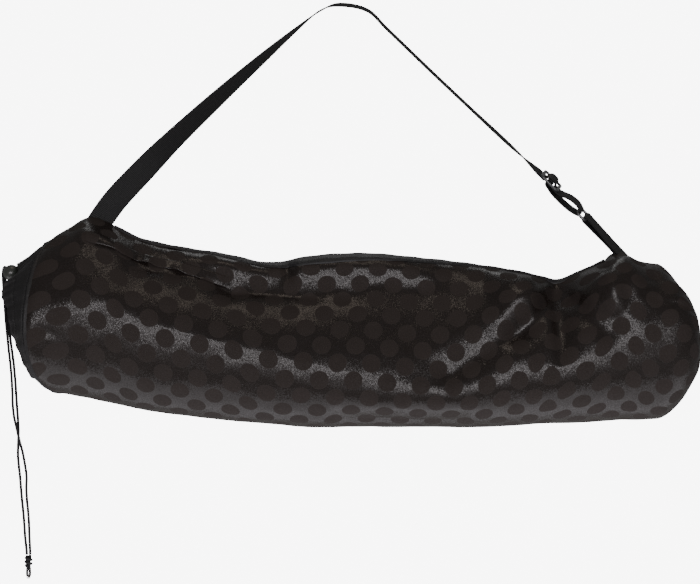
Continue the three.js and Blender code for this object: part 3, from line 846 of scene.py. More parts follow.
class EffectShelf:
    """The effects that several finishes share, each built once."""

    def __init__(self) -> None:
        """Builds every group."""
        self.flecks = self._flecks()
        self.dots = self._dots()
        self.weave = self._weave()
        self.ribs = self._ribs()
        self.grime = self._grime()

    def _flecks(self) -> bpy.types.NodeTree:
        """Tiny shiny flecks, each at its own tilt."""
        group, bench, source, target = effect_group(
            "glitter_flecks",
            {
                "Vector": ("NodeSocketVector", None),
                "Flecks per Metre": ("NodeSocketFloat", 900.0),
                "Tilt": ("NodeSocketFloat", 0.3),
            },
            {"Fleck": "NodeSocketFloat", "Normal": "NodeSocketVector"},
        )
        cells = bench.add("ShaderNodeTexVoronoi", voronoi_dimensions="3D", feature="F1")
        scale = source.outputs["Flecks per Metre"]
        bench.feed(cells, Vector=source.outputs["Vector"], Scale=scale)
        split = bench.add("ShaderNodeSeparateColor")
        bench.feed(split, Color=cells.outputs["Color"])
        centred = bench.vector("SUBTRACT", cells.outputs["Color"], (0.5, 0.5, 0.5))
        scaled = bench.add("ShaderNodeVectorMath", operation="SCALE")
        bench.put(scaled.inputs[0], centred)
        bench.put(scaled.inputs["Scale"], source.outputs["Tilt"])
        geometry = bench.add("ShaderNodeNewGeometry")
        leaning = bench.vector("ADD", geometry.outputs["Normal"], scaled.outputs[0])
        bench.put(target.inputs["Fleck"], split.outputs[0])
        bench.put(target.inputs["Normal"], bench.vector("NORMALIZE", leaning))
        return group

    def _dots(self) -> bpy.types.NodeTree:
        """Round dots in rows, each row half a pitch along from the next."""
        group, bench, source, target = effect_group(
            "dot_rows",
            {
                "Vector": ("NodeSocketVector", None),
                "Pitch": ("NodeSocketFloat", 0.0337),
                "Row Gap": ("NodeSocketFloat", 0.0205),
                "Radius": ("NodeSocketFloat", 0.0088),
                "Softness": ("NodeSocketFloat", 0.0004),
            },
            {"Mask": "NodeSocketFloat"},
        )
        cell = bench.add("ShaderNodeCombineXYZ")
        bench.put(cell.inputs["X"], source.outputs["Pitch"])
        bench.put(cell.inputs["Y"], bench.math("MULTIPLY", source.outputs["Row Gap"], 2.0))
        bench.put(cell.inputs["Z"], 1.0)
        flat = bench.vector("MULTIPLY", source.outputs["Vector"], (1.0, 1.0, 0.0))
        shares = bench.vector("DIVIDE", flat, cell.outputs[0])
        gaps = []
        for shift in ((0.0, 0.0, 0.5), (0.5, 0.5, 0.5)):
            moved = bench.vector("ADD", shares, shift)
            inside = bench.vector("SUBTRACT", bench.vector("FRACTION", moved), (0.5, 0.5, 0.5))
            gaps.append(bench.vector("LENGTH", bench.vector("MULTIPLY", inside, cell.outputs[0])))
        nearest = bench.math("MINIMUM", *gaps)
        depth = bench.math("SUBTRACT", source.outputs["Radius"], nearest)
        soft = bench.math("DIVIDE", depth, source.outputs["Softness"])
        bench.put(target.inputs["Mask"], bench.math("ADD", soft, 0.5, clamp=True))
        return group

    def _weave(self) -> bpy.types.NodeTree:
        """Fine plain weave from two crossed sets of threads; its Shade output is painted shade,
        lighter where the threads stand high and darker where they sink.
        """
        group, bench, source, target = effect_group(
            "plain_weave",
            {
                "Vector": ("NodeSocketVector", None),
                "Threads per Metre": ("NodeSocketFloat", 2200.0),
            },
            {"Height": "NodeSocketFloat", "Shade": "NodeSocketFloat"},
        )
        turns = bench.math("MULTIPLY", source.outputs["Threads per Metre"], 2 * math.pi)
        split = bench.add("ShaderNodeSeparateXYZ")
        bench.feed(split, Vector=source.outputs["Vector"])
        warp = bench.math("SINE", bench.math("MULTIPLY", split.outputs["X"], turns))
        weft = bench.math("SINE", bench.math("MULTIPLY", split.outputs["Y"], turns))
        crossed = bench.math("MULTIPLY", warp, weft)
        slubs = bench.add("ShaderNodeTexNoise")
        bench.feed(slubs, Vector=source.outputs["Vector"], Scale=420.0, Detail=3.0)
        height = bench.math("ADD", bench.math("MULTIPLY", crossed, 0.25), slubs.outputs[0])
        bench.put(target.inputs["Height"], height)
        shade = bench.math("MULTIPLY_ADD", crossed, 0.5, 0.5)
        bench.put(target.inputs["Shade"], shade)
        return group

    def _ribs(self) -> bpy.types.NodeTree:
        """Cross ribs of webbing, with its two selvedges, and a mask of the valleys between ribs that
        take painted shade.
        """
        group, bench, source, target = effect_group(
            "webbing_ribs",
            {
                "Vector": ("NodeSocketVector", None),
                "Ribs per Metre": ("NodeSocketFloat", 620.0),
                "Width": ("NodeSocketFloat", 0.025),
            },
            {"Height": "NodeSocketFloat", "Valley Shade": "NodeSocketFloat"},
        )
        split = bench.add("ShaderNodeSeparateXYZ")
        bench.feed(split, Vector=source.outputs["Vector"])
        turns = bench.math("MULTIPLY", source.outputs["Ribs per Metre"], 2 * math.pi)
        wobble = bench.add("ShaderNodeTexNoise")
        bench.feed(wobble, Vector=source.outputs["Vector"], Scale=300.0, Detail=2.0)
        phase = bench.math("MULTIPLY", split.outputs["X"], turns)
        phase = bench.math("ADD", phase, bench.math("MULTIPLY", wobble.outputs[0], 1.6))
        ribs = bench.math("MULTIPLY_ADD", bench.math("SINE", phase), 0.5, 0.5)
        threads = bench.math("MULTIPLY", bench.math("MULTIPLY", split.outputs["Y"], turns), 1.7)
        warp = bench.math("MULTIPLY_ADD", bench.math("SINE", threads), 0.5, 0.5)
        height = bench.math(
            "ADD", bench.math("MULTIPLY", ribs, 0.75), bench.math("MULTIPLY", warp, 0.3)
        )
        across = bench.math("DIVIDE", split.outputs["Y"], source.outputs["Width"])
        edge = bench.math("ABSOLUTE", across)
        selvedge = bench.math("GREATER_THAN", edge, 0.455)
        height = bench.math("ADD", height, bench.math("MULTIPLY", selvedge, 0.4))
        bench.put(target.inputs["Height"], height)
        # The valley mask marks the low ground between ribs, where painted shade goes.
        bench.put(target.inputs["Valley Shade"], bench.math("SUBTRACT", 1.0, ribs))
        return group

    def _grime(self) -> bpy.types.NodeTree:
        """Uneven handling marks that change gloss and tone a little."""
        group, bench, source, target = effect_group(
            "handling_marks",
            {
                "Vector": ("NodeSocketVector", None),
                "Patch Scale": ("NodeSocketFloat", 60.0),
            },
            {"Patches": "NodeSocketFloat", "Fine": "NodeSocketFloat"},
        )
        broad = bench.add("ShaderNodeTexNoise")
        bench.feed(broad, Vector=source.outputs["Vector"], Scale=source.outputs["Patch Scale"])
        bench.feed(broad, Detail=4.0, Roughness=0.55)
        fine = bench.add("ShaderNodeTexNoise")
        bench.feed(fine, Vector=source.outputs["Vector"], Scale=2600.0, Detail=2.0)
        bench.put(target.inputs["Patches"], broad.outputs[0])
        bench.put(target.inputs["Fine"], fine.outputs[0])
        return group


def new_material(name: str) -> tuple[bpy.types.Material, NodeBench, bpy.types.Node]:
    """A node material with its Principled shader.

    Args:
        name: the material's name.

    Returns:
        The material, its bench and its Principled BSDF.
    """
    material = bpy.data.materials.new(name)
    material.use_nodes = True
    bench = NodeBench(material.node_tree)
    return material, bench, material.node_tree.nodes["Principled BSDF"]


def place_group(bench: NodeBench, group: bpy.types.NodeTree, **values: object) -> bpy.types.Node:
    """Places an effect in a material with its own values.

    Args:
        bench: the material's bench.
        group: the effect.
        **values: values by input name, with _ for a space.

    Returns:
        The group node.
    """
    node = bench.add("ShaderNodeGroup", node_tree=group)
    return bench.feed(node, **values)


def flat_coordinates(bench: NodeBench) -> bpy.types.NodeSocket:
    """The piece's place on the cloth laid flat, in metres."""
    return bench.add("ShaderNodeTexCoord").outputs["UV"]


def object_coordinates(bench: NodeBench) -> bpy.types.NodeSocket:
    """The place in the object's own frame, in metres."""
    return bench.add("ShaderNodeTexCoord").outputs["Object"]


Colour = tuple[float, float, float, float]
BLACK: Colour = (0.0, 0.0, 0.0, 1.0)


class Finish(ABC):
    """A finish, which wires its own material."""

    name: str

    @abstractmethod
    def wire(self, bench: NodeBench, shader: bpy.types.Node, effects: EffectShelf) -> None:
        """Joins the nodes that make the finish.

        Args:
            bench: the material's bench.
            shader: its Principled BSDF.
            effects: the shared effects.
        """

    def build(self, effects: EffectShelf) -> bpy.types.Material:
        """The material.

        Args:
            effects: the shared effects.

        Returns:
            The material.
        """
        material, bench, shader = new_material(self.name)
        self.wire(bench, shader, effects)
        return material


@dataclass(frozen=True)
class DottedSatin(Finish):
    """Satin with a glitter ground and matte dots in rows."""

    name: str = "dotted_satin"
    ground: Colour = (0.0125, 0.009, 0.0074, 1.0)
    fleck: Colour = (0.025, 0.02, 0.02, 1.0)
    dot: Colour = (0.0222, 0.0158, 0.0136, 1.0)
    pitch: float = 0.0333
    row_gap: float = 0.0175
    radius: float = 0.0091
    flecks_per_metre: float = 1500.0
    fleck_tilt: float = 0.24
    fleck_power: float = 3.0
    fleck_gloss: float = 0.08
    ground_roughness: float = 0.28
    dot_roughness: float = 0.52
    specular: float = 0.4

    def wire(self, bench: NodeBench, shader: bpy.types.Node, effects: EffectShelf) -> None:
        """Joins the nodes that make the finish."""
        flat = flat_coordinates(bench)
        solid = object_coordinates(bench)
        dots = place_group(
            bench, effects.dots, Vector=flat, Pitch=self.pitch, Row_Gap=self.row_gap,
            Radius=self.radius,
        ).outputs["Mask"]
        ground = bench.math("SUBTRACT", 1.0, dots)
        flecks = place_group(
            bench, effects.flecks, Vector=solid, Flecks_per_Metre=self.flecks_per_metre,
            Tilt=self.fleck_tilt,
        )
        weave = place_group(bench, effects.weave, Vector=flat)
        marks = place_group(bench, effects.grime, Vector=solid, Patch_Scale=30.0)
        fleck_share = bench.math("POWER", flecks.outputs["Fleck"], self.fleck_power)
        colour = bench.blend(fleck_share, self.ground, self.fleck)
        colour = bench.blend(dots, colour, self.dot)
        shade = bench.math("MULTIPLY_ADD", marks.outputs["Patches"], 0.5, 0.75)
        colour = bench.blend(bench.math("SUBTRACT", 1.0, shade), colour, BLACK)
        rough = bench.math("MULTIPLY_ADD", dots, self.dot_roughness, self.ground_roughness)
        gloss = bench.span(flecks.outputs["Fleck"], self.fleck_gloss, -self.fleck_gloss)
        rough = bench.math("ADD", rough, gloss)
        woven = bench.bump(Strength=0.25, Distance=0.0002, Height=weave.outputs["Height"])
        tilt = bench.add("ShaderNodeMix", data_type="VECTOR")
        bench.put(tilt.inputs[0], ground)
        bench.put(tilt.inputs[4], woven)
        bench.put(tilt.inputs[5], flecks.outputs["Normal"])
        bench.feed(shader, Base_Color=colour, Roughness=rough, Normal=tilt.outputs[1])
        shader.inputs["Specular IOR Level"].default_value = self.specular


@dataclass(frozen=True)
class PlainSatin(Finish):
    """Satin of the hem, with no dots."""

    name: str = "hem_satin"
    ground: Colour = (0.011, 0.0105, 0.011, 1.0)
    # thread is the lighter tone that the weave's raised crossings take, as painted highlight.
    thread: Colour = (0.03, 0.029, 0.031, 1.0)
    roughness: float = 0.5
    relief: float = 0.35

    def wire(self, bench: NodeBench, shader: bpy.types.Node, effects: EffectShelf) -> None:
        """Joins the nodes that make the finish."""
        flat = flat_coordinates(bench)
        weave = place_group(bench, effects.weave, Vector=flat, Threads_per_Metre=1500.0)
        marks = place_group(
            bench, effects.grime, Vector=object_coordinates(bench), Patch_Scale=90.0
        )
        # Painted shade of the weave: raised crossings take the thread colour and low ones the ground
        # colour, scaled by random patches.
        share = bench.math("MULTIPLY", weave.outputs["Shade"], marks.outputs["Patches"])
        bench.feed(shader, Base_Color=bench.blend(share, self.ground, self.thread))
        rough = bench.math("MULTIPLY_ADD", marks.outputs["Patches"], 0.2, self.roughness - 0.1)
        bench.feed(shader, Roughness=rough)
        normal = bench.bump(Strength=self.relief, Distance=0.0003, Height=weave.outputs["Height"])
        bench.feed(shader, Normal=normal)
        shader.inputs["Specular IOR Level"].default_value = 0.35


@dataclass(frozen=True)
class RibbedWebbing(Finish):
    """Polypropylene webbing with fine cross ribs, with painted shade in the valleys between them."""

    name: str = "ribbed_webbing"
    rib: Colour = (0.035, 0.036, 0.037, 1.0)
    # The valley colour is painted shade in the rib valleys, and it also darkens random fine marks.
    valley_shade_and_grime: Colour = (0.005, 0.005, 0.0055, 1.0)
    ribs_per_metre: float = 640.0

    def wire(self, bench: NodeBench, shader: bpy.types.Node, effects: EffectShelf) -> None:
        """Joins the nodes that make the finish."""
        ribs = place_group(
            bench, effects.ribs, Vector=flat_coordinates(bench), Ribs_per_Metre=self.ribs_per_metre
        )
        marks = place_group(
            bench, effects.grime, Vector=object_coordinates(bench), Patch_Scale=120.0
        )
        # Painted shade: the rib valleys take the dark valley colour.
        colour = bench.blend(ribs.outputs["Valley Shade"], self.rib, self.valley_shade_and_grime)
        colour = bench.blend(bench.span(marks.outputs["Fine"], 0.0, 0.35), colour, self.valley_shade_and_grime)
        bench.feed(shader, Base_Color=colour)
        bench.feed(shader, Roughness=bench.span(marks.outputs["Patches"], 0.5, 0.72))
        normal = bench.bump(Strength=0.7, Distance=0.0005, Height=ribs.outputs["Height"])
        bench.feed(shader, Normal=normal)
        shader.inputs["Specular IOR Level"].default_value = 0.3


@dataclass(frozen=True)
class GlossyMoulding(Finish):
    """Dark moulded plastic or coated metal with a polished skin."""

    name: str
    colour: Colour
    roughness: float = 0.22
    metallic: float = 0.0
    coat: float = 0.4

    def wire(self, bench: NodeBench, shader: bpy.types.Node, effects: EffectShelf) -> None:
        """Joins the nodes that make the finish."""
        marks = place_group(
            bench, effects.grime, Vector=object_coordinates(bench), Patch_Scale=180.0
        )
        worn = tuple(min(1.0, 1.5 * c) for c in self.colour[:3]) + (1.0,)
        bench.feed(shader, Base_Color=bench.blend(marks.outputs["Patches"], self.colour, worn))
        rough = bench.math("MULTIPLY_ADD", marks.outputs["Patches"], 0.16, self.roughness - 0.06)
        bench.feed(shader, Roughness=rough)
        normal = bench.bump(Strength=0.06, Distance=0.0002, Height=marks.outputs["Fine"])
        bench.feed(shader, Normal=normal)
        shader.inputs["Metallic"].default_value = self.metallic
        shader.inputs["Coat Weight"].default_value = self.coat
        shader.inputs["Coat Roughness"].default_value = 0.15


@dataclass(frozen=True)
class FineBraid(Finish):
    """Round cord with a fine diagonal braid, with painted shade in the gaps between its strands."""

    name: str = "cord_braid"
    strand: Colour = (0.03, 0.03, 0.032, 1.0)
    # The gap colour is painted shade between the strands, and it also darkens random fine marks.
    gap: Colour = (0.005, 0.005, 0.0055, 1.0)
    turns_per_metre: float = 420.0
    girth: float = 0.0088

    def wire(self, bench: NodeBench, shader: bpy.types.Node, effects: EffectShelf) -> None:
        """Joins the nodes that make the finish."""
        split = bench.add("ShaderNodeSeparateXYZ")
        bench.feed(split, Vector=flat_coordinates(bench))
        far = bench.math("MULTIPLY", split.outputs["X"], 2 * math.pi * self.turns_per_metre)
        turn = bench.math("MULTIPLY", split.outputs["Y"], 2 * math.pi * 4 / self.girth)
        one = bench.math("SINE", bench.math("ADD", far, turn))
        two = bench.math("SINE", bench.math("SUBTRACT", far, turn))
        height = bench.math("MAXIMUM", one, two)
        share = bench.math("MULTIPLY_ADD", height, 0.6, 0.4, clamp=True)
        marks = place_group(bench, effects.grime, Vector=object_coordinates(bench))
        # Painted shade: the low gaps between the strands take the gap colour.
        colour = bench.blend(share, self.gap, self.strand)
        bench.feed(shader, Base_Color=bench.blend(
            bench.span(marks.outputs["Fine"], 0.0, 0.4), colour, self.gap
        ))
        bench.feed(shader, Roughness=bench.span(marks.outputs["Patches"], 0.55, 0.75))
        normal = bench.bump(Strength=0.6, Distance=0.0003, Height=height)
        bench.feed(shader, Normal=normal)
        shader.inputs["Specular IOR Level"].default_value = 0.3


class Finishes:
    """Every finish of the bag, built once."""

    def __init__(self) -> None:
        """Builds the shared effects and the materials."""
        effects = EffectShelf()
        self.satin = DottedSatin().build(effects)
        self.hem = PlainSatin().build(effects)
        self.tape = PlainSatin(
            "seam_tape", (0.016, 0.016, 0.017, 1.0), (0.04, 0.04, 0.043, 1.0), 0.5, 0.2
        ).build(effects)
        self.thread = PlainSatin(
            "sewing_thread", (0.02, 0.02, 0.021, 1.0), (0.05, 0.05, 0.053, 1.0), 0.5, 0.1
        ).build(effects)
        self.webbing = RibbedWebbing().build(effects)
        self.slider = GlossyMoulding("slider_moulding", (0.035, 0.038, 0.04, 1.0)).build(effects)
        self.lock = GlossyMoulding(
            "lock_moulding", (0.03, 0.033, 0.029, 1.0), roughness=0.3, coat=0.25
        ).build(effects)
        self.ring = GlossyMoulding(
            "coated_ring", (0.09, 0.09, 0.095, 1.0), roughness=0.25, metallic=0.7
        ).build(effects)
        self.braid = FineBraid().build(effects)
        self.fray = PlainSatin(
            "frayed_end", (0.12, 0.115, 0.11, 1.0), (0.4, 0.39, 0.37, 1.0), 0.7, 0.3
        ).build(effects)


def dressed(
    piece: bpy.types.Object,
    material: bpy.types.Material,
    slot: str,
    *nodes: str,
) -> bpy.types.Object:
    """Gives a piece its finish and its place in the frame.

    Args:
        piece: the new piece.
        material: its finish.
        slot: the name of its material slot; not used.
        *nodes: the CAD nodes that it stands for.

    Returns:
        The same piece.
    """
    piece.data.materials.clear()
    piece.data.materials.append(material)
    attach(piece, "root")
    if nodes:
        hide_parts(*nodes)
    LOG.info("%s stands for %s", piece.name, ", ".join(nodes) or "no CAD node")
    return piece


@dataclass(frozen=True)
class Stitch:
    """A stitch's sizes in millimetres. crown is how far its middle stands up, in girths."""

    pitch: float
    length: float
    girth: float
    crown: float = 0.35


def stitches(
    name: str, line: np.ndarray, normal: np.ndarray, stitch: Stitch
) -> bpy.types.Object:
    """A row of thread stitches along a line.

    Args:
        name: the piece's name.
        line: the line on the cloth, in millimetres.
        normal: the cloth's outward direction at each point of the line.
        stitch: the stitch's sizes.

    Returns:
        The new object.
    """
    far = run_along(line)

    def value_at(run: float, values: np.ndarray) -> Vector:
        """Values between the line's points, at a length along it."""
        return Vector([np.interp(run, far, values[:, k]) for k in range(3)])

    bm = bmesh.new()
    for centre in np.arange(stitch.pitch / 2, far[-1], stitch.pitch):
        at = value_at(centre, line)
        up = value_at(centre, normal).normalized()
        along = (value_at(centre + 1, line) - at).normalized()
        side = up.cross(along).normalized()
        made = bmesh.ops.create_icosphere(bm, subdivisions=1, radius=0.5)
        for vert in made["verts"]:
            x, y, z = vert.co
            rise = z + stitch.crown * (1 - (2 * x) ** 2)
            spot = along * (x * stitch.length) + (side * y + up * rise) * stitch.girth
            vert.co = (at + spot) * MM
    for face in bm.faces:
        face.smooth = True
    return to_object(name, bm)


class BagPart(ABC):
    """A part of the bag, which builds its own pieces."""

    @abstractmethod
    def build(self, finishes: Finishes) -> None:
        """Builds the part's pieces in the scene.

        Args:
            finishes: the bag's finishes.
        """


# The bag's cloth

@dataclass(frozen=True)
class Seat:
    """A patch of the top that is lifted to meet a strap's end. Sizes are in millimetres."""

    x: float
    reach: float
    half_width: float
    rise: float


@dataclass(frozen=True)
class TubeCloth(BagPart):
    """The long dotted tube between the mouth's casing and the end panel.

    The print runs a little off the seam. grain says how, by distance from the mouth: where a dot
    of the first row has its middle, and how far that row has drifted.
    """

    wall: float = 1.4
    long_steps: int = 250
    round_steps: int = 160
    seam_sink: float = 0.9
    seam_reach: float = 2.2
    end_fade: float = 12.0
    seam_fade: float = 6.0
    seam_unevenness: float = 0.3
    ripples: tuple[Ripple, ...] = (
        Ripple(0.9, (42.0, 30.0, 24.0)), Ripple(0.35, (15.0, 13.0, 11.0), 7.0),
    )
    seats: tuple[Seat, ...] = (
        Seat(-239.5, 13.0, 8.0, 1.4), Seat(276.0, 8.5, 11.0, 1.6), Seat(269.5, 5.0, 8.0, 1.2),
    )
    first_row: float = 105.5
    shear: float = 0.065
    grain: tuple[tuple[float, float, float], ...] = (
        (60, 57.0, -6.0), (85, 52.5, 9.0), (116, 50.0, 7.5), (150, 50.0, 2.0), (185, 50.3, 0.0),
        (240, 50.0, -1.0), (270, 50.5, 1.0), (300, 51.0, 6.0), (330, 51.0, 8.0), (400, 50.0, 7.0),
        (470, 48.0, 6.0), (510, 45.5, 6.0), (525, 44.0, -1.0), (540, 43.0, -12.0),
        (557, 42.5, -16.0), (577, 43.0, -6.0), (600, 43.0, 1.0), (612, 42.5, 8.0),
        (640, 39.5, 8.0), (700, 39.0, 8.0),
    )

    def build(self, finishes: Finishes) -> None:
        """Builds the tube."""
        first, last = (float(FORM.table[row, 0]) for row in (SEAM_ROW, END_ROW))
        places = np.linspace(first, last, self.long_steps + 1)
        rows = FORM.row_at(places)[:, None]
        angles = np.linspace(0, 2 * math.pi, self.round_steps + 1)[None, :]
        rows, angles = np.broadcast_arrays(rows, angles)
        points = FORM.points(rows, angles, DRESSED)
        normals = FORM.normals(rows, angles, DRESSED)
        from_seam = (places - first)[:, None] * FORM.length
        from_end = (last - places)[:, None] * FORM.length
        sink = self.seam_sink * np.exp(-((from_seam / self.seam_reach) ** 2))
        quiet = np.clip(from_end / self.end_fade, 0, 1) * np.clip(
            from_seam / self.seam_fade, self.seam_unevenness, 1
        )
        x, y = points[..., 0], points[..., 1]
        lift = sum(
            seat.rise * np.exp(-(((x - seat.x) / seat.reach) ** 4) - (y / seat.half_width) ** 2)
            for seat in self.seats
        ) * (np.cos(angles) > 0)
        relief = unevenness(points, self.ripples) * quiet - sink + lift
        points = points + normals * relief[..., None]
        points[:, -1] = points[:, 0]
        piece = surface("bag_cloth", points, self.flat_places(rows, angles), round_closed=True)
        turned_outward(piece, BAG_MIDDLE)
        walled(piece, self.wall)
        dressed(piece, finishes.satin, "dotted_cloth", "bag_body")

    def flat_places(self, rows: np.ndarray, angles: np.ndarray) -> np.ndarray:
        """Where each point lies on the cloth before it was sewn, measured on the smooth form.

        Args:
            rows: row numbers of the points.
            angles: angles of the points.

        Returns:
            Places in metres, as printed gives them.
        """
        ahead = FORM.section(rows[:, :1])["place"] * FORM.length
        return self.printed(ahead, FORM.girths(rows, angles))

    def printed(self, ahead: np.ndarray, girth: np.ndarray) -> np.ndarray:
        """Where a place on the cloth lies in the print.

        Args:
            ahead: distances from the mouth's end, in millimetres.
            girth: lengths round the cloth from the top seam, in millimetres.

        Returns:
            Places in metres, from the middle of the first dot of the first row.
        """
        far, start, drift = np.array(self.grain).T
        across = girth - self.first_row - np.interp(ahead, far, drift)
        along = ahead - np.interp(ahead, far, start) + self.shear * across
        return np.stack(np.broadcast_arrays(along, across), axis=-1) * MM


@dataclass(frozen=True)
class Pinch:
    """A place on the rim that is drawn in.

    at is its angle, wide its half width as an angle, and move how far it goes, in millimetres.
    """

    at: float
    wide: float
    move: float


@dataclass(frozen=True)
class MouthCasing(BagPart):
    """The gathered drawstring hem round the open mouth.

    Depths are in millimetres. Places along the hem are in rows, 0 at the rim and 1 at the seam.
    """

    thickness: float = 3.0
    roll: float = 1.4
    pleat: float = 0.54
    pull: float = 0.624
    seam_pleat: float = 0.25
    channel: float = 0.55
    channel_width: float = 0.035
    welt: float = 0.8
    welt_row: float = 0.95
    welt_width: float = 0.04
    flange: float = 0.12
    flange_inset: float = 2.0
    inner_stop: float = 0.7
    pinches: tuple[Pinch, ...] = (Pinch(0.42, 0.24, 8.5), Pinch(0.98, 0.2, -5.0))
    stitch: Stitch = Stitch(3.2, 2.3, 0.55)
    stitch_lift: float = 0.1
    stitch_rows: tuple[float, float] = (0.4, 0.86)
    flat_run: float = 60.0
    flat_radius: float = 62.0
    face_steps: int = 34
    roll_steps: int = 6
    round_steps: int = 264
    inside: tuple[float, float, float] = (-0.25, 0.0, -0.32)

    def pleats(self, angles: np.ndarray, fade: np.ndarray) -> np.ndarray:
        """Relief of the gathers, in millimetres.

        Args:
            angles: angles round the mouth.
            fade: 1 at the rim and 0 at the seam.

        Returns:
            The relief, which is deepest near the cord's way out at the top.
        """
        pulled = 0.5 + 0.5 * np.cos(angles)
        # Two sets of gathers, whose angles swing to and fro so that neither is evenly spaced.
        wave = (
            np.cos(23 * angles + 1.3 * np.sin(3 * angles))
            + 0.6 * np.cos(41 * angles + 2.1 * np.sin(5 * angles + 1))
        )
        depth = self.pleat + self.pull * pulled ** 3
        return wave * depth * (self.seam_pleat + (1 - self.seam_pleat) * fade)

    def build(self, finishes: Finishes) -> None:
        """Builds the casing and its two rows of stitches."""
        angles = np.linspace(0, 2 * math.pi, self.round_steps + 1)
        outer = np.linspace(SEAM_ROW, RIM_ROW, self.face_steps + 1)
        inner = np.linspace(RIM_ROW, SEAM_ROW * self.inner_stop, self.face_steps // 2 + 1)
        rings = [self.ring(SEAM_ROW + self.flange, angles, self.flange_inset)]
        rings += [self.ring(row, angles, 0.0) for row in outer]
        for step in range(1, self.roll_steps):
            turn = math.pi * step / self.roll_steps
            inset = self.thickness * (1 - math.cos(turn)) / 2
            rings.append(self.ring(RIM_ROW, angles, inset, self.roll * math.sin(turn)))
        rings += [self.ring(row, angles, self.thickness) for row in inner]
        points = np.array(rings)
        points[:, -1] = points[:, 0]
        far = np.linspace(0, self.flat_run, len(points))[:, None]
        girth = angles[None] * self.flat_radius
        flat = np.stack(np.broadcast_arrays(far, girth), axis=-1) * MM
        casing = surface("mouth_hem", points, flat, round_closed=True)
        turned_outward(casing, self.inside)
        dressed(casing, finishes.hem, "hem_cloth", "mouth_casing")
        for name, row in zip(("hem_stitches_inner", "hem_stitches_seam"), self.stitch_rows):
            line = self.ring(row, angles, -self.stitch_lift)
            normal = FORM.normals(np.full_like(angles, row), angles)
            sewn = stitches(name, line, normal, self.stitch)
            dressed(sewn, finishes.thread, "hem_cloth")

    def ring(
        self, row: float, angles: np.ndarray, inset: float, ahead: float = 0.0
    ) -> np.ndarray:
        """One ring of the casing.

        Args:
            row: its row number.
            angles: the angles of its points.
            inset: how far inside the outer face, in millimetres.
            ahead: how far out of the mouth, in millimetres.

        Returns:
            The ring's points in millimetres.
        """
        rows = np.full_like(angles, row)
        fade = np.full_like(angles, 1 - min(max(row, 0.0), 1.0))
        groove = sum(
            math.exp(-(((row - sewn) / self.channel_width) ** 2)) for sewn in self.stitch_rows
        )
        welt = self.welt * math.exp(-(((row - self.welt_row) / self.welt_width) ** 2))
        relief = self.pleats(angles, fade) - self.channel * groove + welt - inset
        points = FORM.points(rows, angles)
        points = points + FORM.normals(rows, angles) * relief[:, None]
        turn = np.where(angles > math.pi, angles - 2 * math.pi, angles)
        pinch = sum(p.move * np.exp(-(((turn - p.at) / p.wide) ** 2)) for p in self.pinches)
        points[:, 0] += pinch * fade ** 2 - ahead
        return points


@dataclass(frozen=True)
class EndPanel(BagPart):
    """The round end, bulging outwards over the filling. It carries on the tube's dots."""

    tube_cloth: TubeCloth = TubeCloth()
    bulge: float = 41.0
    level: float = 0.58
    exponent: float = 1.6
    wall: float = 1.4
    fullness: float = 1.5
    fullness_power: int = 3
    slope_step: float = 0.15
    slope_power: int = 4
    rim_fade: float = 4.0
    middle_fade: float = 6.0
    ripple: Ripple = Ripple(0.8, (30.0, 26.0, 22.0))
    ring_steps: int = 60
    round_steps: int = 160
    inside: tuple[float, float, float] = (0.2, 0.0, -0.35)

    def build(self, finishes: Finishes) -> None:
        """Builds the end panel."""
        angles = np.linspace(0, 2 * math.pi, self.round_steps + 1)
        rim = FORM.points(np.full_like(angles, END_ROW), angles, DRESSED)
        shares = np.sin(np.linspace(math.pi / 2, 0, self.ring_steps + 1))[:, None]
        sides = np.abs(np.sin(angles))[None] ** self.fullness_power
        power = self.exponent + self.fullness * sides
        swell = self.bulge * (1 - shares ** power) ** (1 / power)
        middle = np.array([0.0, 0.0, FORM.level(self.level)])
        points = middle + (rim - middle)[None] * shares[..., None]
        points[..., 0] = rim[None, :, 0] * shares + rim[:, 0].mean() * (1 - shares)
        before = FORM.points(np.full_like(angles, END_ROW - self.slope_step), angles, DRESSED)
        slope = (rim - before) / (rim - before)[:, :1]
        fading = shares ** self.slope_power
        ease = np.concatenate([np.ones_like(shares), fading, fading], axis=-1)
        points = points + slope[None] * swell[..., None] * ease[:, None]
        steps = np.linalg.norm(np.diff(points, axis=0), axis=-1)
        run = np.concatenate([np.zeros((1, len(angles))), np.cumsum(steps, axis=0)])
        quiet = np.minimum(1, self.rim_fade * (1 - shares))
        quiet = quiet * np.minimum(1, self.middle_fade * shares)
        points[..., 0] += unevenness(points, (self.ripple,)) * quiet
        points[:, -1] = points[:, 0]
        flat = self.tube_cloth.flat_places(
            np.full((1, len(angles)), float(END_ROW)), angles[None]
        ) + np.stack([run, np.zeros_like(run)], axis=-1) * MM
        piece = surface("end_panel_cloth", points, flat, round_closed=True)
        turned_outward(piece, self.inside)
        walled(piece, self.wall)
        dressed(piece, finishes.satin, "dotted_cloth", "end_panel")


@dataclass(frozen=True)
class LipPoint:
    """A point of the pocket lip's lower edge. lift is in lip thicknesses."""

    place: float
    drop: float
    lift: float


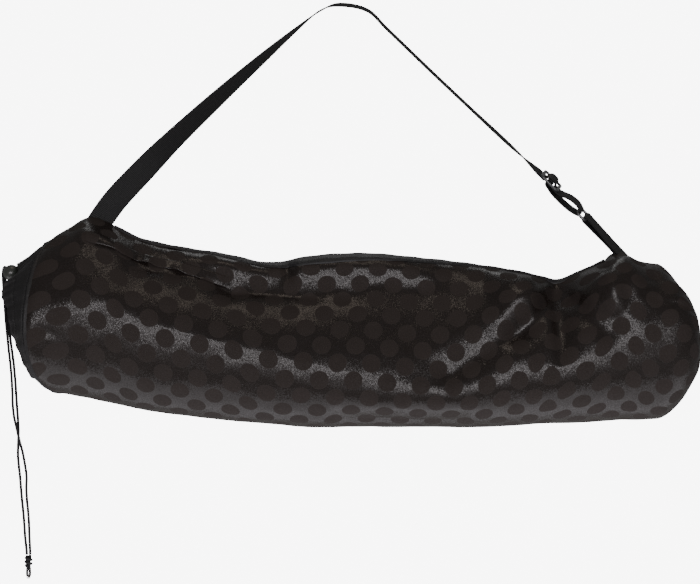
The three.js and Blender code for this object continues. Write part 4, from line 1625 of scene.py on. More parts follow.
@dataclass(frozen=True)
class PocketLip(BagPart):
    """The folded lip of the slit pocket, standing off the cloth in two places.

    It carries on the tube's dots. fold_edge is the way round its folded edge, in shares of its
    height and thickness.
    """

    tube_cloth: TubeCloth = TubeCloth()
    height: float = 9.0
    thickness: float = 1.3
    seat: float = 0.3
    root: float = 0.12
    root_stand: float = 0.1
    end_fade: float = 6.0
    end_stand: float = 0.15
    fold_edge: tuple[tuple[float, float], ...] = ((1.04, 0.75), (1.055, 0.5), (1.04, 0.25))
    long_steps: int = 120
    outer_steps: int = 10
    inner_steps: int = 7
    inner_stop: float = 0.25
    inside: tuple[float, float, float] = (-0.17, 0.02, -0.3)
    line: tuple[LipPoint, ...] = (
        LipPoint(0.123, -0.08, 0.0),
        LipPoint(0.16, -0.035, 0.2),
        LipPoint(0.178, 0.005, 0.1),
        LipPoint(0.194, 0.036, 0.1),
        LipPoint(0.2085, 0.054, 3.0),
        LipPoint(0.224, 0.07, 0.1),
        LipPoint(0.238, 0.08, 0.1),
        LipPoint(0.253, 0.092, 2.4),
        LipPoint(0.27, 0.11, 0.1),
        LipPoint(0.3, 0.145, 0.2),
        LipPoint(0.327, 0.185, 0.0),
    )

    def build(self, finishes: Finishes) -> None:
        """Builds the lip."""
        knots = np.array([(p.place, p.drop, p.lift) for p in self.line])
        track = spline_through(knots, self.long_steps // (len(knots) - 1))
        place, drop, lift = track.T
        lift = np.maximum(lift, 0)
        rows = FORM.row_at(place)
        from_end = np.minimum(np.arange(len(rows)), np.arange(len(rows))[::-1])
        fade = np.clip(from_end / self.end_fade, self.end_stand, 1)
        profile = [(share, 1.0) for share in np.linspace(0, 1, self.outer_steps + 1)]
        profile += self.fold_edge
        inner = np.linspace(1, self.inner_stop, self.inner_steps + 1)
        profile += [(share, 0.0) for share in inner]
        columns, prints = [], []
        for share, up in profile:
            level = FORM.level(drop) + self.height * (1 - share)
            angle = FORM.front_angle(rows, level)
            stand = self.seat + up * self.thickness + lift * min(share, 1.0) ** 2
            if share < self.root:
                stand = stand * (self.root_stand + (1 - self.root_stand) * share / self.root)
            base = FORM.points(rows, angle, DRESSED)
            columns.append(base + FORM.normals(rows, angle) * (stand * fade)[:, None])
            girth = FORM.girth_to(rows, angle)
            prints.append(self.tube_cloth.printed(place * FORM.length, girth))
        points = np.stack(columns, axis=1)
        piece = surface("pocket_lip_cloth", points, np.stack(prints, axis=1))
        turned_outward(piece, self.inside)
        dressed(piece, finishes.satin, "dotted_cloth", "pocket_lip")


@dataclass(frozen=True)
class SeamTape(BagPart):
    """The smooth tape folded over the top seam."""

    end_gap: float = 14.0
    thickness: float = 1.5
    lift: float = 0.25
    pucker: float = 0.25
    pucker_wave: float = 4.5
    pucker_lean: float = 2.0
    flat_half_width: float = 8.0
    reach: float = 1.2
    half_count: int = 48
    long_steps: int = 240
    cross_steps: int = 14
    stitch: Stitch = Stitch(3.4, 2.4, 0.5)
    stitch_column: int = -3
    stitch_share: float = 0.8
    lean: tuple[tuple[float, float, float], ...] = (
        (0.13, 1.0, 5.5), (0.3, 1.5, 5.5), (0.38, 4.0, 7.0), (0.43, 8.0, 10.0),
        (0.5, 7.0, 8.0), (0.58, 3.0, 6.0), (0.75, 1.0, 5.0), (0.9, 0.0, 5.0),
    )

    def build(self, finishes: Finishes) -> None:
        """Builds the tape and its edge stitches."""
        margin = self.end_gap / FORM.length
        places = np.linspace(LEFT_END + margin, RIGHT_END - margin, self.long_steps + 1)
        rows = FORM.row_at(places)
        table = np.array(self.lean)
        centre = np.interp(places, table[:, 0], table[:, 1])
        half = np.interp(places, table[:, 0], table[:, 2])
        angles = np.linspace(-self.reach, self.reach, 2 * self.half_count + 1)
        girth = FORM.girths(rows[:, None], angles[None])
        girth -= girth[:, [self.half_count]]
        columns = []
        shares = np.linspace(-1, 1, self.cross_steps + 1)
        for share in shares:
            want = centre + share * half
            angle = np.array([np.interp(w, g, angles) for w, g in zip(want, girth)])
            height = self.lift + self.thickness * (1 - abs(share) ** 6) ** 0.5
            wave = places * FORM.length / self.pucker_wave + self.pucker_lean * share
            height = height + self.pucker * np.sin(wave)
            base = FORM.points(rows, angle, DRESSED)
            columns.append(base + FORM.normals(rows, angle, DRESSED) * height[:, None])
        points = np.stack(columns, axis=1)
        far = run_along(points[:, self.cross_steps // 2])
        across = shares * self.flat_half_width
        flat = np.stack(np.meshgrid(far, across, indexing="ij"), axis=-1) * MM
        tape = surface("seam_tape", points, flat)
        turned_outward(tape, BAG_MIDDLE)
        walled(tape, self.thickness)
        dressed(tape, finishes.tape, "seam_tape", "seam_binding")
        want = centre + self.stitch_share * half
        angle = np.array([np.interp(w, g, angles) for w, g in zip(want, girth)])
        edge = points[:, self.stitch_column]
        sewn = stitches("tape_stitches", edge, FORM.normals(rows, angle), self.stitch)
        dressed(sewn, finishes.thread, "seam_tape")


# The strap and its hardware

@dataclass(frozen=True)
class Hardware:
    """Where the slider and the ring are, in their own frame, and the sizes that pieces share.

    down runs down the strap, and off stands out of the slider's plate. Sizes are in millimetres,
    tilt in radians and turn in degrees.
    """

    tilt: float = math.pi / 4
    turn: float = 17.0
    strap_width: float = 25.0
    strap_thickness: float = 1.5
    play: float = 0.35
    slider_half_length: float = 12.0
    plate: float = 2.6
    outer_bar: float = 4.4
    centre_bar: float = 3.2
    ring_wire: float = 3.0
    anchor_run: float = 46.6
    ring_pitch: float = 10.0
    loop_run: float = 41.0
    loop_offset: float = -1.4
    anchor_spread: float = 1.1
    gap: float = 0.3

    @property
    def down(self) -> np.ndarray:
        """Direction down the strap."""
        return np.array([math.cos(self.tilt), 0.0, -math.sin(self.tilt)])

    @property
    def above(self) -> np.ndarray:
        """Direction square to the strap's run in the bag's middle plane."""
        return np.array([math.sin(self.tilt), 0.0, math.cos(self.tilt)])

    @property
    def across(self) -> np.ndarray:
        """Direction across the strap at the slider."""
        turn = math.radians(self.turn)
        return np.array([0.0, math.cos(turn), 0.0]) + self.above * math.sin(turn)

    @property
    def off(self) -> np.ndarray:
        """Direction out of the slider's plate."""
        turn = math.radians(self.turn)
        return self.above * math.cos(turn) - np.array([0.0, math.sin(turn), 0.0])

    @property
    def seat(self) -> np.ndarray:
        """Where the anchor meets the right end of the top seam."""
        place = FORM.row_at(np.array([RIGHT_END]))
        at = FORM.points(place, np.array([0.0]))[0]
        lift = (self.anchor_spread + self.strap_thickness / 2) * math.cos(self.tilt)
        return at + np.array([0.0, 0.0, self.gap + lift])

    @property
    def slider_at(self) -> np.ndarray:
        """Middle of the slider."""
        reach = self.anchor_run + self.ring_pitch + self.loop_run
        return self.seat - self.down * reach - self.off * 2 * self.loop_offset

    def point(self, down: float, off: float, across: float = 0.0) -> np.ndarray:
        """A place in the slider's frame as a place in the bag's."""
        return self.slider_at + self.down * down + self.off * off + self.across * across


HARDWARE = Hardware()

# The webbing's section: how far its flat face goes, and its round edge, in half widths and half
# thicknesses.
WEBBING_FACE = 0.955
WEBBING_FACE_POINTS = 9
WEBBING_EDGE = ((0.985, 0.72), (1.0, 0.0), (0.985, -0.72))


def webbing_ribbon(name: str, at: np.ndarray, across: np.ndarray) -> bpy.types.Object:
    """Flat webbing through stations.

    Args:
        name: the piece's name.
        at: centres of the stations, in millimetres.
        across: unit direction across the webbing at each station.

    Returns:
        The new object, with the run along it and the place across it as its UV map.
    """
    up = np.cross(directions(at), across)
    up /= np.linalg.norm(up, axis=1, keepdims=True)
    half, deep = HARDWARE.strap_width / 2, HARDWARE.strap_thickness / 2
    spread = np.linspace(-WEBBING_FACE, WEBBING_FACE, WEBBING_FACE_POINTS)
    face = [(share, 1.0) for share in spread]
    face += WEBBING_EDGE
    outline = np.array(face + [(-share, -high) for share, high in face] + face[:1])
    shares, highs = outline[:, 0, None] * half, outline[:, 1, None] * deep
    points = at[:, None] + across[:, None] * shares + up[:, None] * highs
    far = run_along(at)[:, None]
    flat = np.stack(np.broadcast_arrays(far, shares[None, :, 0]), axis=-1) * MM
    return surface(name, points, flat, round_closed=True, capped=True)


@dataclass(frozen=True)
class LegPoint:
    """A point of the strap on its way down: shares of the way, and its turn in degrees."""

    across: float
    drop: float
    turn: float


@dataclass(frozen=True)
class ShoulderStrap(BagPart):
    """The strap from the left seam over its peak to the slider, round the ring and back."""

    approach: float = 4.0
    tuck: float = 4.5
    seat_turn: float = 10.0
    seat_points: int = 11
    per_leg: int = 16
    per_slider_leg: int = 3
    left_leg: tuple[LegPoint, ...] = (
        LegPoint(0.933, 0.9, 11),
        LegPoint(0.816, 0.762, 22),
        LegPoint(0.693, 0.624, 42),
        LegPoint(0.516, 0.441, 57),
        LegPoint(0.33, 0.257, 73),
        LegPoint(0.185, 0.119, 88),
        LegPoint(0.081, 0.03, 97),
    )
    right_leg: tuple[LegPoint, ...] = (
        LegPoint(0.138, 0.038, 90),
        LegPoint(0.241, 0.153, 90),
        LegPoint(0.446, 0.387, 90),
        LegPoint(0.656, 0.622, 90),
        LegPoint(0.869, 0.857, 90),
    )
    upper_ply: tuple[tuple[float, float], ...] = (
        (0.317, -2.5), (0.43, -1.1), (0.54, 0.9), (0.67, 2.4), (0.83, 3.0), (0.94, 2.1),
    )
    lower_ply: tuple[tuple[float, float], ...] = (
        (0.92, -5.1), (0.8, -6.2), (0.6, -6.9), (0.4, -7.0), (0.2, -6.6), (0.1, -5.7),
    )

    def left_seat(self) -> tuple[np.ndarray, np.ndarray]:
        """Middle and direction of the strap's sewn left end."""
        share = (HARDWARE.strap_width / 2) / FORM.length
        places = LEFT_END + share * np.linspace(-1, 1, self.seat_points)
        line = FORM.points(FORM.row_at(places), np.zeros(self.seat_points))
        start, stop = line[0], line[-1]
        chord = start[2] + (stop[2] - start[2]) * (line[:, 0] - start[0]) / (stop[0] - start[0])
        lift = max(0.0, float(np.max(line[:, 2] - chord)))
        at = (start + stop) / 2 + np.array([0.0, 0.0, lift + HARDWARE.gap])
        return at, (stop - start) / np.linalg.norm(stop - start)

    def threaded(self) -> list[tuple[float, float]]:
        """The way through the slider, round the ring and back, as down and off.

        The bare numbers are the webbing's own slack beside the bars, in millimetres.
        """
        thickness = HARDWARE.strap_thickness
        play = HARDWARE.play + thickness / 2
        bar, lid = HARDWARE.centre_bar / 2, HARDWARE.plate / 2
        edge = HARDWARE.slider_half_length - HARDWARE.outer_bar
        wrap = lid + play
        over = wrap + thickness + HARDWARE.play
        side = bar + play
        slot = side + thickness + HARDWARE.play * 2
        turn = HARDWARE.ring_wire / 2 + play
        run, offset = HARDWARE.loop_run, HARDWARE.loop_offset
        up = [
            (-edge - 1.4, -wrap), (-edge + 0.7, -wrap - 0.1), (-slot - 0.9, 1.2 - wrap),
            (-slot - 0.6, 0.2), (-slot - 0.2, 2.3), (-side, over - 0.2),
        ]
        mirrored = [(-down, off) for down, off in reversed(up)]
        bend = [
            (run + turn * math.sin(a), offset + turn * math.cos(a))
            for a in np.linspace(0, math.pi, 9)
        ]
        front = [(run * share, off) for share, off in self.upper_ply]
        back = [(run * share, off) for share, off in self.lower_ply]
        into_slot = [
            (-0.6, -wrap - thickness - 0.7), (-side + 0.2, -wrap - 1.2), (-side - 0.25, -1.7),
        ]
        corner = play * math.sqrt(0.5)
        wrap_up = [(-side, 0.0), (-side, lid), (-bar - corner, lid + corner), (-bar, wrap)]
        wrap_under = [
            (side, -lid), (bar + corner, -lid - corner), (bar, -wrap), (bar * 0.25, -wrap - 0.05),
        ]
        wrap_down = [(-down, off) for down, off in reversed(wrap_up)]
        return [
            *up, (0.0, over), *mirrored, *front, *bend, *back, *into_slot,
            *wrap_up, (0.0, wrap), *wrap_down, *wrap_under,
        ]

    def build(self, finishes: Finishes) -> None:
        """Builds the strap."""
        seat, seat_across = self.left_seat()
        threaded = self.threaded()
        entry = HARDWARE.point(-HARDWARE.slider_half_length - self.approach, threaded[0][1])
        peak = np.array([0.0, 0.0, -HARDWARE.strap_thickness / 2])
        to_left = [seat * (p.across, 0.0, p.drop) for p in self.left_leg]
        to_right = [entry * (p.across, 0.0, p.drop) for p in self.right_leg]
        route = np.array([seat, *to_left, peak, *to_right, entry])
        turns = np.array([
            0.0, *(p.turn for p in self.left_leg), 90.0, *(p.turn for p in self.right_leg),
            90.0 + HARDWARE.turn,
        ])
        legs = spline_through(route, self.per_leg)
        leg_turns = spline_through(turns[:, None], self.per_leg)[:, 0]
        through = np.array([HARDWARE.point(down, off) for down, off in threaded])
        through = spline_through(np.vstack([entry, through]), self.per_slider_leg)[1:]
        last = legs[0] - legs[2]
        tuck = legs[0] + last / np.linalg.norm(last) * self.tuck
        at = np.vstack([tuck, legs, through])
        angle = np.radians(np.concatenate([[0.0], leg_turns, np.zeros(len(through))]))
        along = directions(at)
        in_plane = np.cross((0.0, 1.0, 0.0), along)
        in_plane /= np.linalg.norm(in_plane, axis=1, keepdims=True)
        across = in_plane * np.cos(angle)[:, None]
        across[:, 1] += np.sin(angle)
        across[-len(through):] = HARDWARE.across
        sign = -1.0 if across[0] @ seat_across < 0 else 1.0
        blend = np.clip(1 - run_along(at) / self.seat_turn, 0, 1)[:, None]
        across = across * (1 - blend) + sign * seat_across * blend
        across /= np.linalg.norm(across, axis=1, keepdims=True)
        strap = webbing_ribbon("strap_webbing", at, across)
        dressed(strap, finishes.webbing, "webbing", "shoulder_strap")


@dataclass(frozen=True)
class AnchorLoop(BagPart):
    """The doubled webbing that holds the ring on the right end of the seam."""

    turn: float = 28.0
    turn_power: float = 1.5
    close_share: float = 0.625
    tuck: float = 6.5
    steps: int = 40
    bend_steps: int = 12

    def build(self, finishes: Finishes) -> None:
        """Builds the loop."""
        bar = HARDWARE.point(HARDWARE.loop_run + HARDWARE.ring_pitch, HARDWARE.loop_offset)
        axis = HARDWARE.seat - bar
        along = axis / np.linalg.norm(axis)
        sideways = np.array([0.0, 1.0, 0.0])
        radius = HARDWARE.ring_wire / 2 + HARDWARE.play + HARDWARE.strap_thickness / 2

        def leg(side: float) -> tuple[np.ndarray, np.ndarray]:
            """Stations and directions across of the webbing on one side of the ring."""
            share = np.linspace(0, 1, self.steps + 1)[:, None]
            further = (self.turn - HARDWARE.turn) * share ** self.turn_power
            angle = np.radians(HARDWARE.turn + further)
            level = HARDWARE.above * (1 - share) + np.array([1.0, 0.0, 0.0]) * share
            level /= np.linalg.norm(level, axis=1, keepdims=True)
            across = sideways * np.cos(angle) + level * np.sin(angle)
            off = np.cross(across, along)
            off /= np.linalg.norm(off, axis=1, keepdims=True)
            close = np.minimum(1, share / self.close_share)
            spread = radius + (HARDWARE.anchor_spread - radius) * close
            run = share * (1 + self.tuck / np.linalg.norm(axis))
            return bar + axis * run + off * side * spread, across

        up_at, up_across = leg(1)
        down_at, down_across = leg(-1)
        off = np.cross(HARDWARE.across, along)
        off /= np.linalg.norm(off)
        bends = np.linspace(0, math.pi, self.bend_steps + 1)[1:-1]
        bend = np.array([bar + (off * math.cos(a) - along * math.sin(a)) * radius for a in bends])
        at = np.vstack([up_at[::-1], bend, down_at])
        across = np.vstack([
            up_across[::-1], np.tile(HARDWARE.across, (len(bend), 1)), down_across,
        ])
        across /= np.linalg.norm(across, axis=1, keepdims=True)
        loop = webbing_ribbon("anchor_webbing", at, across)
        dressed(loop, finishes.webbing, "webbing", "anchor_loop")


def rounded_rectangle(
    half_x: float, half_y: float, radius: float, corner_steps: int = 6
) -> np.ndarray:
    """Points round a rectangle with round corners, back to the first.

    Args:
        half_x: half its length.
        half_y: half its width.
        radius: its corner radius.
        corner_steps: steps in each corner.

    Returns:
        Points in its plane.
    """
    points = []
    for x, y, start in ((1, -1, -0.5), (1, 1, 0.0), (-1, 1, 0.5), (-1, -1, 1.0)):
        for i in range(corner_steps + 1):
            a = math.pi * (start + 0.5 * i / corner_steps)
            points.append((
                x * (half_x - radius) + radius * math.cos(a),
                y * (half_y - radius) + radius * math.sin(a),
            ))
    points.append(points[0])
    return np.array(points)


@dataclass(frozen=True)
class StrapSlider(BagPart):
    """The moulded three-bar slider, with rounded bars."""

    half_width: float = 16.5
    rail: float = 3.0
    corner: float = 2.4
    oval_steps: int = 20
    oval_power: float = 0.6

    def oval_bar(
        self, name: str, line: np.ndarray, width: float, looped: bool
    ) -> bpy.types.Object:
        """A bar of oval section along a line in the plate.

        Args:
            name: a name for the part.
            line: the line as down and across, in millimetres.
            width: the bar's width in the plate.
            looped: whether the line closes.

        Returns:
            The part, in the bag's frame.
        """
        along = np.gradient(line, axis=0)
        if looped:
            along[0] = along[-1] = line[1] - line[-2]
        along /= np.linalg.norm(along, axis=1, keepdims=True)
        out = np.stack([along[:, 1], -along[:, 0]], axis=1)
        angles = np.linspace(0, 2 * math.pi, self.oval_steps + 1)
        wide, deep = (
            np.sign(wave) * np.abs(wave) ** self.oval_power * size / 2
            for wave, size in ((np.cos(angles), width), (np.sin(angles), HARDWARE.plate))
        )
        points = np.array([
            [
                HARDWARE.point(at[0] + side[0] * w, d, at[1] + side[1] * w)
                for w, d in zip(wide, deep)
            ]
            for at, side in zip(line, out)
        ])
        flat = np.zeros(points.shape[:2] + (2,))
        return surface(
            name, points, flat, round_closed=True, long_closed=looped, capped=not looped
        )

    def build(self, finishes: Finishes) -> None:
        """Builds the slider."""
        bar = (HARDWARE.outer_bar + self.rail) / 2
        reach = self.half_width - self.rail / 2
        outline = rounded_rectangle(HARDWARE.slider_half_length - bar / 2, reach, self.corner)
        frame = self.oval_bar("slider_frame", outline, bar, True)
        middle = np.array([(0.0, y) for y in np.linspace(-reach, reach, 9)])
        centre = self.oval_bar("slider_centre", middle, HARDWARE.centre_bar, False)
        slider = joined("slider_moulding", [frame, centre])
        dressed(slider, finishes.slider, "slider_plastic", "strap_slider")


@dataclass(frozen=True)
class StrapRing(BagPart):
    """The rectangular ring between the strap and its anchor."""

    half_width: float = 15.0
    corner: float = 2.4
    sides: int = 20

    def build(self, finishes: Finishes) -> None:
        """Builds the ring."""
        outline = rounded_rectangle(HARDWARE.ring_pitch / 2, self.half_width, self.corner)
        middle = HARDWARE.loop_run + HARDWARE.ring_pitch / 2
        line = np.array([
            HARDWARE.point(middle + down, HARDWARE.loop_offset, across) for down, across in outline
        ])
        ring = tube("ring_wire", line, even(HARDWARE.ring_wire / 2), self.sides, looped=True)
        dressed(ring, finishes.ring, "ring_metal", "strap_ring")


# The drawstring

@dataclass(frozen=True)
class CordLock:
    """The ball that grips both strands against the mouth."""

    radius: float = 8.2
    bore_depth: float = 2.2
    bore_radius: float = 1.9
    bore_flare: float = 1.25
    bore_edge: float = 0.6
    strand_start: float = 0.3
    parting: tuple[float, float, float] = (0.75, -0.35, 0.56)
    parting_depth: float = 0.18
    parting_width: float = 0.35
    centre: tuple[float, float, float] = (-328.55, 0.07, -268.81)
    front_exit: tuple[float, float, float] = (-0.66, 0.5, 0.56)
    back_exit: tuple[float, float, float] = (-0.42, 0.86, 0.29)

    def exit_point(self, way: Sequence[float]) -> np.ndarray:
        """Where a strand starts in its bore, in millimetres."""
        unit = np.array(way) / np.linalg.norm(way)
        return np.array(self.centre) + unit * (self.radius - self.bore_depth + self.strand_start)

    def build(self, finishes: Finishes) -> bpy.types.Object:
        """Builds the lock.

        Args:
            finishes: the bag's finishes.

        Returns:
            The piece.
        """
        bm = bmesh.new()
        bmesh.ops.create_uvsphere(bm, u_segments=64, v_segments=40, radius=self.radius)
        ways = [Vector(way).normalized() for way in (self.front_exit, self.back_exit)]
        parting = Vector(self.parting).normalized()
        mouth = self.bore_radius * self.bore_flare
        for vert in bm.verts:
            unit = vert.co.normalized()
            radius = self.radius
            for way in ways:
                apart = (unit - way * unit.dot(way)).length * self.radius
                if unit.dot(way) > 0 and apart < mouth:
                    depth = min(1.0, (mouth - apart) / self.bore_edge)
                    radius = min(radius, self.radius - self.bore_depth * depth)
            band = abs(unit.dot(parting)) * self.radius
            radius -= self.parting_depth * math.exp(-((band / self.parting_width) ** 2))
            vert.co = (unit * radius + Vector(self.centre)) * MM
        for face in bm.faces:
            face.smooth = True
        return dressed(to_object("lock_ball", bm), finishes.lock, "lock_plastic", "cord_lock")


# The strands' ways from their bores to the knot, in metres.
FRONT_ROUTE = (
    (-0.3355, 0.0053, -0.263), (-0.3369, 0.0066, -0.2636), (-0.3378, 0.0076, -0.2656),
    (-0.3382, 0.0082, -0.269), (-0.3382, 0.0084, -0.2735), (-0.3379, 0.0082, -0.28),
    (-0.3371, 0.0076, -0.29), (-0.336, 0.0064, -0.303), (-0.3349, 0.005, -0.316),
    (-0.3333, 0.0036, -0.331), (-0.3316, 0.0024, -0.346), (-0.33, 0.0012, -0.358),
    (-0.3286, 0.0004, -0.372), (-0.3276, -0.0002, -0.388), (-0.3272, -0.0008, -0.4),
    (-0.3258, -0.0018, -0.412), (-0.323, -0.0026, -0.424), (-0.3203, -0.0024, -0.436),
    (-0.3172, -0.0016, -0.448), (-0.315, -0.001, -0.46), (-0.3134, -0.0006, -0.472),
    (-0.3136, -0.0004, -0.484), (-0.313, -0.0002, -0.496), (-0.3118, 0.0, -0.508),
    (-0.311, 0.0, -0.52), (-0.3106, 0.0, -0.532), (-0.31, 0.0, -0.544), (-0.3098, 0.0, -0.5506),
)
BACK_ROUTE = (
    (-0.333, 0.0091, -0.2658), (-0.3342, 0.0112, -0.2661), (-0.3354, 0.0126, -0.268),
    (-0.3361, 0.0133, -0.2714), (-0.3364, 0.0133, -0.276), (-0.3362, 0.0128, -0.282),
    (-0.3352, 0.0116, -0.292), (-0.334, 0.0102, -0.305), (-0.3326, 0.0088, -0.318),
    (-0.3309, 0.0074, -0.332), (-0.329, 0.0062, -0.346), (-0.3272, 0.0052, -0.358),
    (-0.3261, 0.0044, -0.368), (-0.325, 0.0039, -0.38), (-0.3242, 0.0036, -0.392),
    (-0.3235, 0.0032, -0.402), (-0.3225, 0.0028, -0.414), (-0.3218, 0.0024, -0.426),
    (-0.322, 0.002, -0.438), (-0.3222, 0.0014, -0.45), (-0.3214, 0.001, -0.461),
    (-0.32, 0.0006, -0.473), (-0.3191, 0.0004, -0.484), (-0.318, 0.0002, -0.496),
    (-0.3167, 0.0, -0.508), (-0.3157, 0.0, -0.52), (-0.3149, 0.0, -0.532),
    (-0.3136, 0.0, -0.544), (-0.3131, 0.0, -0.5506),
)


@dataclass(frozen=True)
class Drawstring(BagPart):
    """The ball lock, the two strands below it and the knot that joins them."""

    lock: CordLock = CordLock()
    diameter: float = 2.8
    sides: int = 16
    per_leg: int = 12
    knot_at: tuple[float, float, float] = (-311.45, 0.0, -551.0)
    knot_sides: int = 12
    wraps: float = 2.6
    wrap_start: float = 0.15
    wrap_radius: float = 2.75
    wrap_taper: float = 0.5
    wrap_top: float = 1.5
    wrap_height: float = 9.8
    wrap_points: int = 120
    core: tuple[tuple[float, float, float], ...] = (
        (1.65, 0.0, -0.2), (1.2, 0.9, -4.0), (-0.8, 1.2, -9.0),
        (-1.2, 0.0, -13.0), (-1.5, 0.3, -18.0), (-1.1, -0.4, -21.0),
    )
    core_thinner: float = 0.93
    tail_end: float = -575.5
    filaments: int = 18
    filament_radius: float = 0.22
    filament_taper: float = 0.02

    def knot(self) -> bpy.types.Object:
        """An overhand knot in the doubled cord, as wraps round its core."""
        radius = self.diameter / 2
        x, y, z = self.knot_at
        share = np.linspace(0, 1, self.wrap_points)
        swell = self.wrap_radius - self.wrap_taper * np.abs(2 * share - 1) ** 3
        angle = 2 * math.pi * (self.wraps * share + self.wrap_start)
        wrap = np.stack([
            x + swell * np.cos(angle),
            y + swell * np.sin(angle),
            z - self.wrap_top - self.wrap_height * share,
        ], axis=1)
        parts = [tube("knot_wrap", wrap, even(radius), self.knot_sides)]
        for side in (-1, 1):
            core = spline_through(np.array(self.core) * (side, side, 1) + self.knot_at, 10)
            parts.append(
                tube("knot_core", core, even(radius * self.core_thinner), self.knot_sides)
            )
        return joined("knot_cord", parts)

    def round_tail(self, radius: float, turn: float, up: float) -> np.ndarray:
        """A place round the tail's cut end, in millimetres."""
        x, y, _ = self.knot_at
        return np.array([
            x + radius * math.cos(turn), y + radius * math.sin(turn), self.tail_end + up,
        ])

    def frayed_tip(self) -> bpy.types.Object:
        """Loose filaments at the tail's cut end, which spread outwards like a brush."""
        parts = []
        for i in range(self.filaments):
            turn = i * GOLDEN_TURN
            spread = 0.25 + math.sqrt((i + 0.5) / self.filaments)
            start = self.round_tail(0.9 * spread, turn, 5.0)
            stop = self.round_tail(1.7 * spread, turn + 0.3, 0.6 + 0.45 * (i % 3))
            line = spline_through(np.array([start, start * 0.6 + stop * 0.4, stop]), 3)
            parts.append(tube(
                "filament", line,
                lambda far, turn: self.filament_radius - self.filament_taper * far, 5,
            ))
        return joined("frayed_tip", parts)

    def build(self, finishes: Finishes) -> None:
        ball = self.lock.build(finishes)
        knot = dressed(self.knot(), finishes.braid, "cord_braid", "drawstring_knot")
        tip = dressed(self.frayed_tip(), finishes.fray, "cord_braid")
        front, back = self.lock.front_exit, self.lock.back_exit
        for name, way, route, node, carried in (
            ("strand_front", front, FRONT_ROUTE, "drawstring_front", [ball, knot, tip]),
            ("strand_back", back, BACK_ROUTE, "drawstring_back", []),
        ):
            start = self.lock.exit_point(way)
            line = spline_through(np.vstack([start, np.array(route) / MM]), self.per_leg)
            piece = tube(name, line, even(self.diameter / 2), self.sides)
            dressed(piece, finishes.braid, "cord_braid", node)


# The studio

@dataclass(frozen=True)
class SoftLight:
    """A soft rectangular light.

    It has its place, the point that it faces and its size in metres, its power in watts and its
    colour.
    """

    name: str
    at: tuple[float, float, float]
    aim: tuple[float, float, float]
    size: tuple[float, float]
    power: float
    tint: tuple[float, float, float] = (1.0, 1.0, 1.0)

    def build(self) -> None:
        """Puts the light in the scene, unseen by the camera."""
        data = bpy.data.lights.new(self.name, "AREA")
        data.shape = "RECTANGLE"
        data.size, data.size_y = self.size
        data.energy = self.power
        data.color = self.tint
        lamp = bpy.data.objects.new(self.name, data)
        lamp.location = self.at
        lamp.visible_camera = False
        way = Vector(self.aim) - Vector(self.at)
        lamp.rotation_euler = way.to_track_quat("-Z", "Y").to_euler()
        bpy.context.scene.collection.objects.link(lamp)


LIGHTS = (
    SoftLight(
        "front_softbox", (0.0, -6.5, -0.2), (0.0, 0.0, -0.33), (7.0, 1.4), 235.0, (1.0, 0.96, 0.98)
    ),
    SoftLight(
        "top_softbox", (0.0, -0.6, 2.2), (0.0, 0.0, -0.3), (1.2, 0.8), 6.5, (1.0, 0.84, 0.7)
    ),
    SoftLight(
        "low_softbox", (0.0, -0.03, -0.65), (0.0, -0.01, 0.0), (1.5, 0.36), 2.0, (0.98, 0.95, 1.0)
    ),
    SoftLight(
        "floor_glow", (0.0, -0.75, -0.655), (0.0, -0.7, 0.0), (2.0, 1.0), 3.4, (1.0, 0.93, 0.98)
    ),
    SoftLight("back_softbox", (0.0, 2.4, 2.0), (0.0, 0.0, -0.33), (1.2, 0.8), 4.0),
)


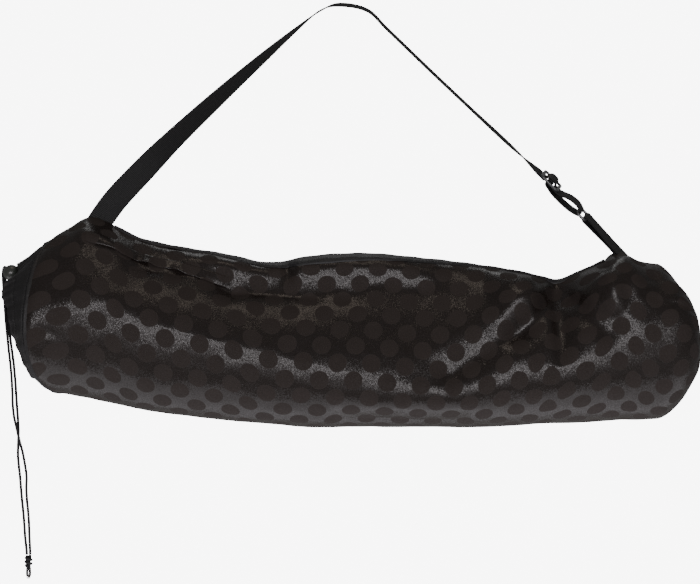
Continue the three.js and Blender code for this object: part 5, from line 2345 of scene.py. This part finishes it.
@dataclass(frozen=True)
class Studio:
    """Camera, pale floor, lights and surround.

    Sizes are in metres. fill and surround are the surround's strength, as it lights the bag and as
    the camera sees it.
    """

    eye: tuple[float, float, float] = (0.01, -2.5, -0.288)
    view_width: float = 0.7
    sensor: float = 36.0
    floor: float = -0.66
    floor_half: float = 2.5
    floor_end: float = 0.62
    white: Colour = (0.9, 0.9, 0.9, 1.0)
    fill: float = 0.17
    surround: float = 8.0

    def camera(self) -> None:
        """The camera, level and square to the bag."""
        data = bpy.data.cameras.new("camera")
        data.sensor_width = self.sensor
        data.lens = data.sensor_width * -self.eye[1] / self.view_width
        data.clip_start, data.clip_end = 0.05, 50.0
        camera = bpy.data.objects.new("camera", data)
        camera.location = self.eye
        camera.rotation_euler = (math.pi / 2, 0.0, 0.0)
        bpy.context.scene.collection.objects.link(camera)
        bpy.context.scene.camera = camera

    def backdrop(self) -> None:
        """The pale floor, which lies below the picture's frame."""
        bm = bmesh.new()
        bmesh.ops.create_grid(bm, x_segments=20, y_segments=20, size=self.floor_half)
        middle = (0.0, self.floor_end - self.floor_half, self.floor)
        bmesh.ops.translate(bm, verts=bm.verts, vec=middle)
        floor = to_object("pale_floor", bm)
        material, bench, shader = new_material("pale_floor")
        marks = bench.feed(bench.add("ShaderNodeTexNoise"), Scale=3.0, Detail=2.0)
        rough = bench.span(marks.outputs[0], 0.75, 0.85)
        bench.feed(shader, Base_Color=self.white, Roughness=rough)
        floor.data.materials.append(material)

    def surroundings(self) -> None:
        """A white surround that gives only a little light of its own."""
        world = bpy.data.worlds.new("studio")
        world.use_nodes = True
        bench = NodeBench(world.node_tree)
        background = world.node_tree.nodes["Background"]
        seen = bench.add("ShaderNodeLightPath").outputs["Is Camera Ray"]
        background.inputs["Color"].default_value = (1.0, 1.0, 1.0, 1.0)
        bench.put(background.inputs["Strength"], bench.span(seen, self.fill, self.surround))
        bpy.context.scene.world = world

    def build(self) -> None:
        """Sets up the floor, the lights and the surround."""
        self.backdrop()
        for light in LIGHTS:
            light.build()
        self.surroundings()


def main() -> None:
    """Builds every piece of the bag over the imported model."""
    logging.basicConfig(level=logging.INFO, format="%(message)s")
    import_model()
    studio = Studio()
    studio.camera()
    finishes = Finishes()
    parts: tuple[BagPart, ...] = (
        Drawstring(), TubeCloth(), MouthCasing(), EndPanel(), PocketLip(), SeamTape(),
        ShoulderStrap(), AnchorLoop(), StrapSlider(), StrapRing(),
    )
    for part in parts:
        part.build(finishes)
    studio.build()


if __name__ == "__main__":
    main()
